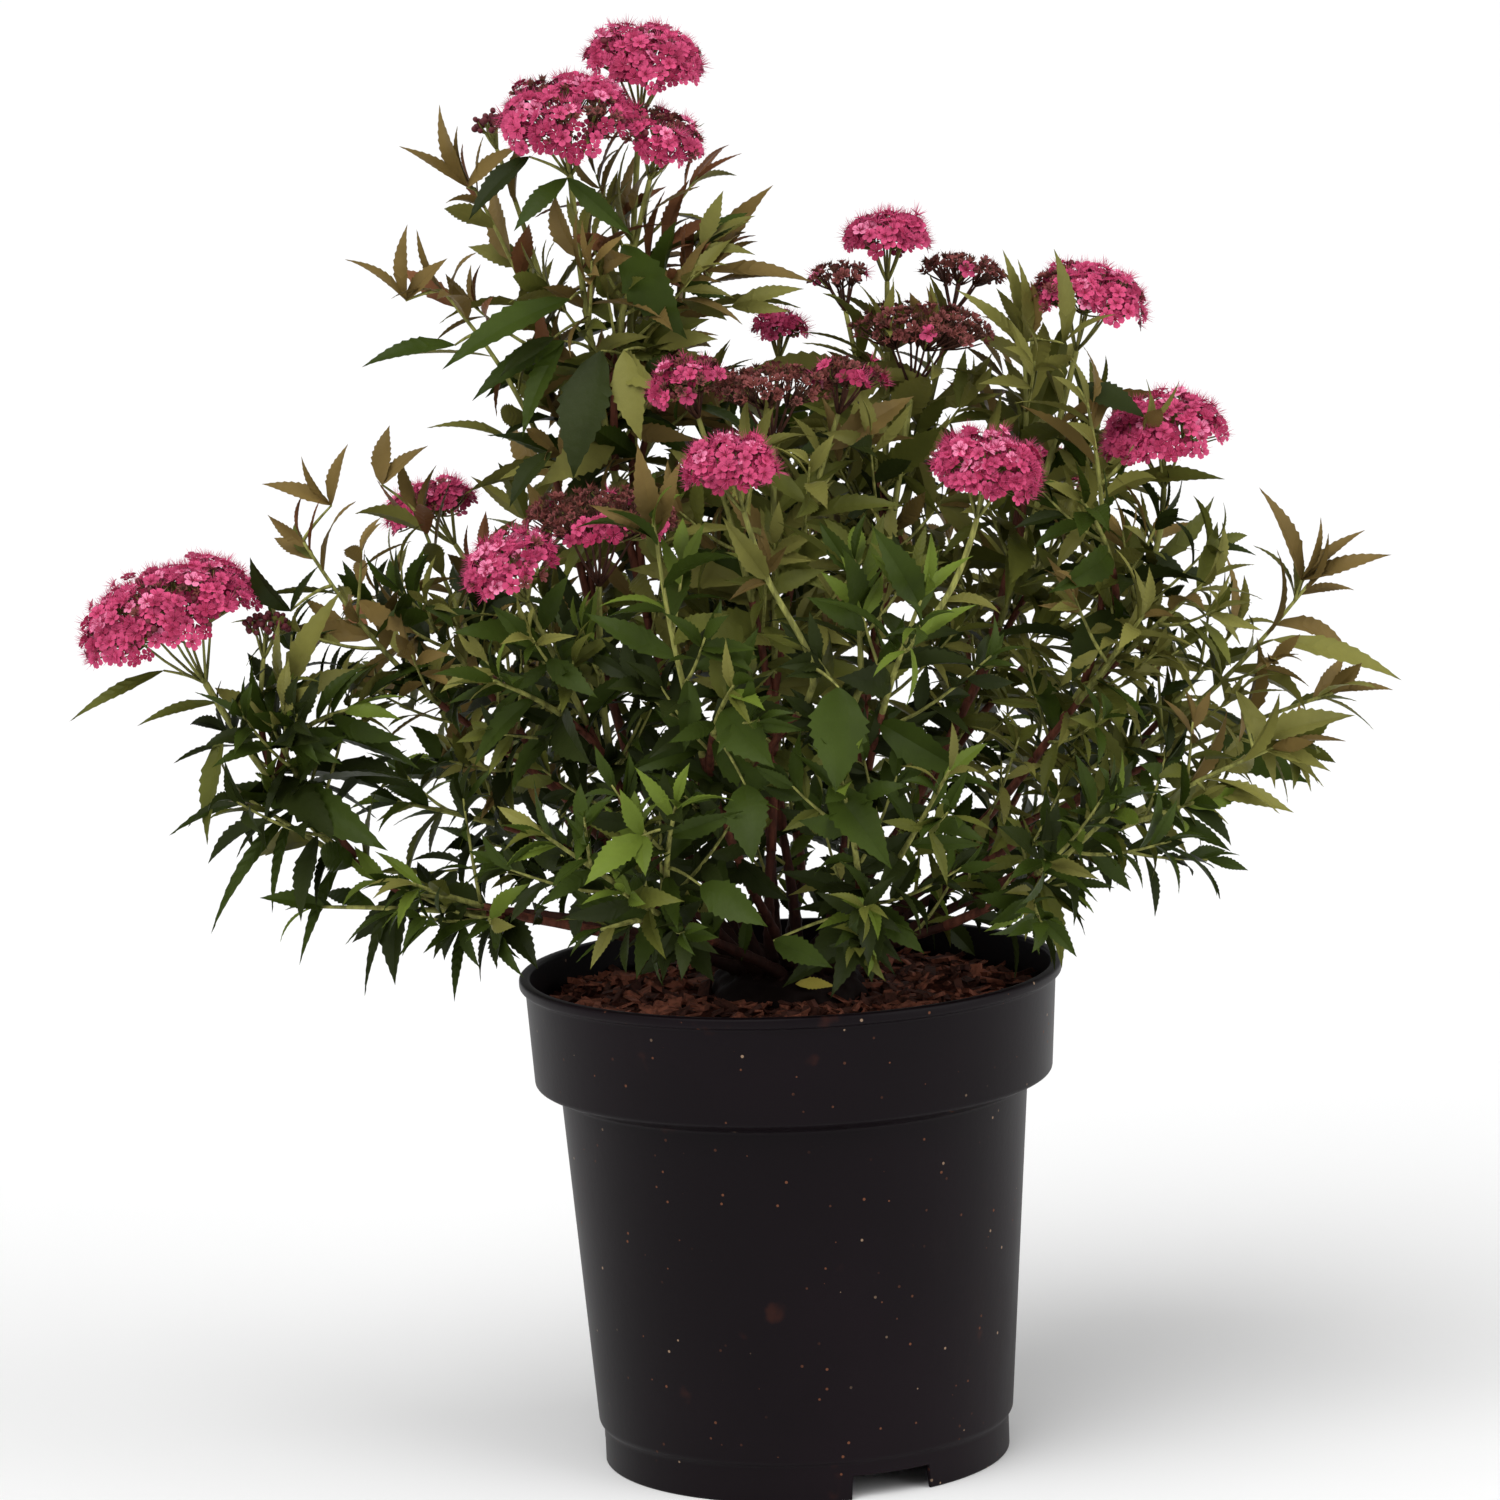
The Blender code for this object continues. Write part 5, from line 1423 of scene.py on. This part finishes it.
class SPIREA_OT_soil(bpy.types.Operator):
    """Fill the pot with bark compost, with chips and one fallen leaf on it"""

    bl_idname = "spirea.soil"
    bl_label = "Soil"

    def execute(self, context):
        settings = context.scene.spirea_soil
        finish = soil_finish("compost_surface", settings.compost, settings.dry_compost)
        soil = put("compost_surface", soil_shape(), finish)
        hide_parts("soil")
        for kind, seed, tone in (("red", 11, settings.red_chip), ("dark", 12, settings.dark_chip)):
            chips = chip_shapes(settings.chip_count, settings.chip_length, seed)
            finish = bark_finish(f"{kind}_bark_chips", tone, shade(tone, 1.7))
            put(f"bark_chips_{kind}", chips, finish, 0)
        way, face = unit(np.array([[1.0, -0.15, 0.02], [0.0, -0.70, 1.0]]))
        leaf = leaf_shapes(np.array([[*FALLEN_LEAF, *way, *face, 0.017, 0.42, 0.25, 0.15, 0.1]]))
        put("fallen_leaf", leaf, leaf_finish("fallen_leaf", settings.fallen_leaf))
        return {"FINISHED"}


class SPIREA_OT_root_crown(bpy.types.Operator):
    """Make the knobbly root crown that the boughs rise from"""

    bl_idname = "spirea.root_crown"
    bl_label = "Root crown"

    def execute(self, context):
        settings = context.scene.spirea_wood
        # The root crown takes darker copies of the bark colours, and painted shade from its foot darkens it
        # further
        bark, pale = shade(settings.bark, 0.5), shade(settings.pale_bark, 0.4)
        finish = bark_finish("root_crown_bark", bark, pale, painted_foot_shade=True)
        crown = put("root_crown_bark", root_crown_shape(), finish)
        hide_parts("root_crown")
        return {"FINISHED"}


class SPIREA_OT_boughs(bpy.types.Operator):
    """Make the boughs, with their leaf scars and the relief of their bark"""

    bl_idname = "spirea.boughs"
    bl_label = "Boughs"

    def execute(self, context):
        settings = context.scene.spirea_wood
        # Painted shade darkens the boughs towards their foot, under the crown
        finish = bark_finish("bough_bark", settings.bark, settings.pale_bark, painted_foot_shade=True)
        boughs = put("boughs_bark", bough_shapes(), finish)
        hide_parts(*nodes_named("bough_"))
        return {"FINISHED"}


class SPIREA_OT_twigs(bpy.types.Operator):
    """Make the leaders and side shoots, red where woody and green where young"""

    bl_idname = "spirea.twigs"
    bl_label = "Twigs"
    split = round(0.42 * STEM_RINGS)
    sides, shoot_sides = 7, 5

    def execute(self, context):
        settings = context.scene.spirea_wood
        red = bark_finish("red_twigs", settings.red_twig, shade(settings.red_twig, 1.8))
        green = bark_finish("green_twigs", settings.green_twig, shade(settings.green_twig, 1.4))
        stems, shoots = growth(context)[:2]
        paths, feet, tips = (np.array(column) for column in zip(*stems))
        s = np.linspace(0, 1, STEM_RINGS)
        radii = between(1.15 * feet[:, None], tips[:, None], s**1.3)
        radii = (radii * (1 + 0.12 * np.cos(tau * s * 11) ** 8))[..., None]
        split = self.split
        woody = limbs(paths[:, : split + 1], radii[:, : split + 1], self.sides)
        young = limbs(paths[:, split:], radii[:, split:], self.sides)
        radii = np.linspace(SHOOT_RADIUS, SHOOT_TIP_RADIUS, SHOOT_RINGS)[:, None]
        put("twigs_woody", woody, red)
        put("twigs_young", young, green)
        put("twigs_side", limbs(shoots, radii, self.shoot_sides), green)
        return {"FINISHED"}


class SPIREA_OT_leaves(bpy.types.Operator):
    """Make the leaves, one piece for each tint"""

    bl_idname = "spirea.leaves"
    bl_label = "Leaves"

    def execute(self, context):
        settings = context.scene.spirea_leaves
        for tint, rows in growth(context).leaves.items():
            finish = leaf_finish(f"{tint}_leaf", getattr(settings, tint))
            piece = put(f"leaves_{tint}", leaf_shapes(rows), finish, LEAF_SHARP)
            if tint == "dark":
                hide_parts(*nodes_named("foliage_"))
        return {"FINISHED"}


class SPIREA_OT_open_flowers(bpy.types.Operator):
    """Make the open florets of the pink flower heads, with their stamens"""

    bl_idname = "spirea.open_flowers"
    bl_label = "Open flowers"

    def execute(self, context):
        settings = context.scene.spirea_flowers
        florets, stalks = floret_places(growth(context).heads)
        rng = np.random.default_rng(SEED + 2)
        count = len(florets.state)
        # Painted light and shade: the draw rises with the distance from a cushion's middle, so pale petals
        # go mostly on the cushions' tops and shaded ones in the valleys
        draw = 0.68 * rng.random(count) + VALLEY_SHADE * florets.away
        turn = rng.uniform(0, tau, count)
        size = settings.floret_radius * rng.uniform(0.82, 1.1, count)
        frames = standing_frames(florets.ways, turn)
        under = (florets.state == OPEN) & florets.inner
        upper = (florets.state == OPEN) & ~florets.inner
        petals = petal_ring(1.0, 0.40, 0.14, 0.14)
        # The hidden layer under the dome takes only the shaded petals: painted shade
        for name, low, high in PETAL_TINTS:
            pick = upper & (draw >= low) & (draw < high) | under & (name == "deep")
            finish = petal_finish(f"{name}_petal", getattr(settings, name))
            put(f"petals_{name}", copies(petals, florets, frames, size, pick), finish)
        eyes = copies(ball(1, 6, 0.6), florets, frames, 0.22 * size, upper)
        put("floret_eyes", eyes, petal_finish("floret_eye", settings.eye))
        hairs = copies(stamen_ring(STAMENS, 1.38, 0.052, 3), florets, frames, size, upper)
        put("stamens", hairs, petal_finish("stamen", settings.stamen), 0)
        green = context.scene.spirea_wood.green_twig
        stalked = (florets.state != FADED) & ~florets.inner & (draw < STALK_ODDS)
        put("flower_stalks_young", head_stalks(florets, stalked, stalks, False),
            bark_finish("flower_stalk", shade(green, 0.8), green))
        return {"FINISHED"}


class SPIREA_OT_faded_flowers(bpy.types.Operator):
    """Make the faded florets, browned seed cases and closed buds"""

    bl_idname = "spirea.faded_flowers"
    bl_label = "Faded flowers"

    def execute(self, context):
        settings = context.scene.spirea_flowers
        florets, stalks = floret_places(growth(context).heads)
        rng = np.random.default_rng(SEED + 3)
        count = len(florets.state)
        frames = standing_frames(florets.ways, rng.uniform(0, tau, count))
        draw = rng.random(count)
        size = settings.floret_radius * rng.uniform(0.70, 1.0, count)
        faded = florets.state == FADED
        petalled = faded & (rng.random(count) < FADED_PETAL_ODDS)
        curled = copies(petal_ring(0.85, 0.30, 0.22, 0.60), florets, frames, size, petalled)
        put("petals_faded", curled, petal_finish("faded_petal", settings.faded_petal, 0.8))
        small = size < np.median(size)
        for kind, pick in (("brown", faded & small), ("red", faded & ~small)):
            finish = petal_finish(f"{kind}_seed_case", getattr(settings, f"{kind}_case"), 0.8)
            cases = copies(seed_star(), florets, frames, size, pick)
            put(f"seed_cases_{kind}", cases, finish, 0)
        buds = copies(ball(4, 8, 1.1), florets, frames, 0.42 * size, florets.state == BUD)
        put("flower_buds", buds, petal_finish("flower_bud", settings.bud))
        brown = shade(settings.brown_case, 0.8)
        put("flower_stalks_faded", head_stalks(florets, faded & (draw < 0.7), stalks, True),
            bark_finish("faded_stalk", brown, shade(brown, 1.6)))
        return {"FINISHED"}


CAMERA_DISTANCE, CAMERA_ORBIT_HEIGHT, CAMERA_LENS = 2.5, 0.25, 145.07
CAMERA_ELEVATION, CAMERA_ROLL = radians(9.64), radians(-2.15)
CAMERA_TARGET = (-0.0132, 0.0, 0.2970)
FLOOR_RADIUS, FLOOR_SIDES = 60.0, 48
LIGHT_TARGET = (0, 0, 0.3)


def aim(thing, place, target, turn=0.0):
    """Puts a lamp or a camera at a place, looking at a target, rolled by a turn, and
    adds it to the scene."""
    way = Vector(target) - Vector(place)
    thing.location = place
    thing.rotation_mode = "QUATERNION"
    thing.rotation_quaternion = way.to_track_quat("-Z", "Y") @ Quaternion((0, 0, 1), turn)
    bpy.context.scene.collection.objects.link(thing)


class SPIREA_OT_stage(bpy.types.Operator):
    """Set up the plain floor, the soft studio light and the camera"""

    bl_idname = "spirea.stage"
    bl_label = "Floor, light and camera"

    def execute(self, context):
        settings = context.scene.spirea_stage
        self.make_floor(settings)
        self.make_light(context, settings)
        self.make_camera(context)
        context.scene.view_settings.view_transform = "Standard"
        return {"FINISHED"}

    def make_floor(self, settings):
        ring = polar(FLOOR_RADIUS, circle(FLOOR_SIDES), 0.0)
        mesh = bpy.data.meshes.new("studio_floor")
        mesh.from_pydata(ring.tolist(), [], [list(range(FLOOR_SIDES))])
        paint = Paint("studio_floor", 0.9)
        paint.set("Base Color", settings.floor)
        mesh.materials.append(paint.material)
        floor = bpy.data.objects.new("studio_floor", mesh)
        bpy.context.scene.collection.objects.link(floor)

    def make_light(self, context, settings):
        world = bpy.data.worlds.new("studio_light")
        world.use_nodes = True
        sky = world.node_tree.nodes["Background"]
        sky.inputs["Color"].default_value = (1.0, 1.0, 1.0, 1.0)
        sky.inputs["Strength"].default_value = settings.sky_strength
        context.scene.world = world
        for name, place, spread, power in (
            ("key_light", (-1.0, -1.3, 2.3), radians(55), settings.key_power),
            ("fill_light", (1.9, -0.9, 1.3), radians(60), settings.fill_power),
        ):
            lamp = bpy.data.lights.new(name, "SUN")
            lamp.angle, lamp.energy = spread, power
            aim(bpy.data.objects.new(name, lamp), place, LIGHT_TARGET)

    def make_camera(self, context):
        eye = bpy.data.cameras.new("photo_camera")
        eye.sensor_width, eye.lens = 36.0, CAMERA_LENS
        eye.clip_start, eye.clip_end = 0.05, 200.0
        camera = bpy.data.objects.new("photo_camera", eye)
        away = CAMERA_DISTANCE * cos(CAMERA_ELEVATION)
        above = CAMERA_ORBIT_HEIGHT + CAMERA_DISTANCE * sin(CAMERA_ELEVATION)
        aim(camera, (0.0, -away, above), CAMERA_TARGET, CAMERA_ROLL)
        context.scene.camera = camera


OPERATORS = (
    SPIREA_OT_stage,
    SPIREA_OT_pot,
    SPIREA_OT_soil,
    SPIREA_OT_root_crown,
    SPIREA_OT_boughs,
    SPIREA_OT_twigs,
    SPIREA_OT_leaves,
    SPIREA_OT_open_flowers,
    SPIREA_OT_faded_flowers,
)


class SPIREA_PT_panel(bpy.types.Panel):
    """Lists the shrub's settings and the buttons that make its pieces"""

    bl_idname = "SPIREA_PT_panel"
    bl_label = "Potted spirea shrub"
    bl_space_type = "VIEW_3D"
    bl_region_type = "UI"
    bl_category = "Spirea"

    def draw(self, context):
        for operator in OPERATORS:
            self.layout.operator(operator.bl_idname)
        for name, group in SETTINGS.items():
            box = self.layout.box()
            for key in group.__annotations__:
                box.prop(getattr(context.scene, name), key)


CLASSES = (*SETTINGS.values(), *OPERATORS, SPIREA_PT_panel)


def register():
    for made in CLASSES:
        bpy.utils.register_class(made)
    for name, group in SETTINGS.items():
        setattr(bpy.types.Scene, name, bpy.props.PointerProperty(type=group))


def unregister():
    for name in SETTINGS:
        delattr(bpy.types.Scene, name)
    for made in reversed(CLASSES):
        bpy.utils.unregister_class(made)


def main():
    register()
    for operator in OPERATORS:
        group, name = operator.bl_idname.split(".")
        getattr(getattr(bpy.ops, group), name)()


if __name__ == "__main__":
    main()
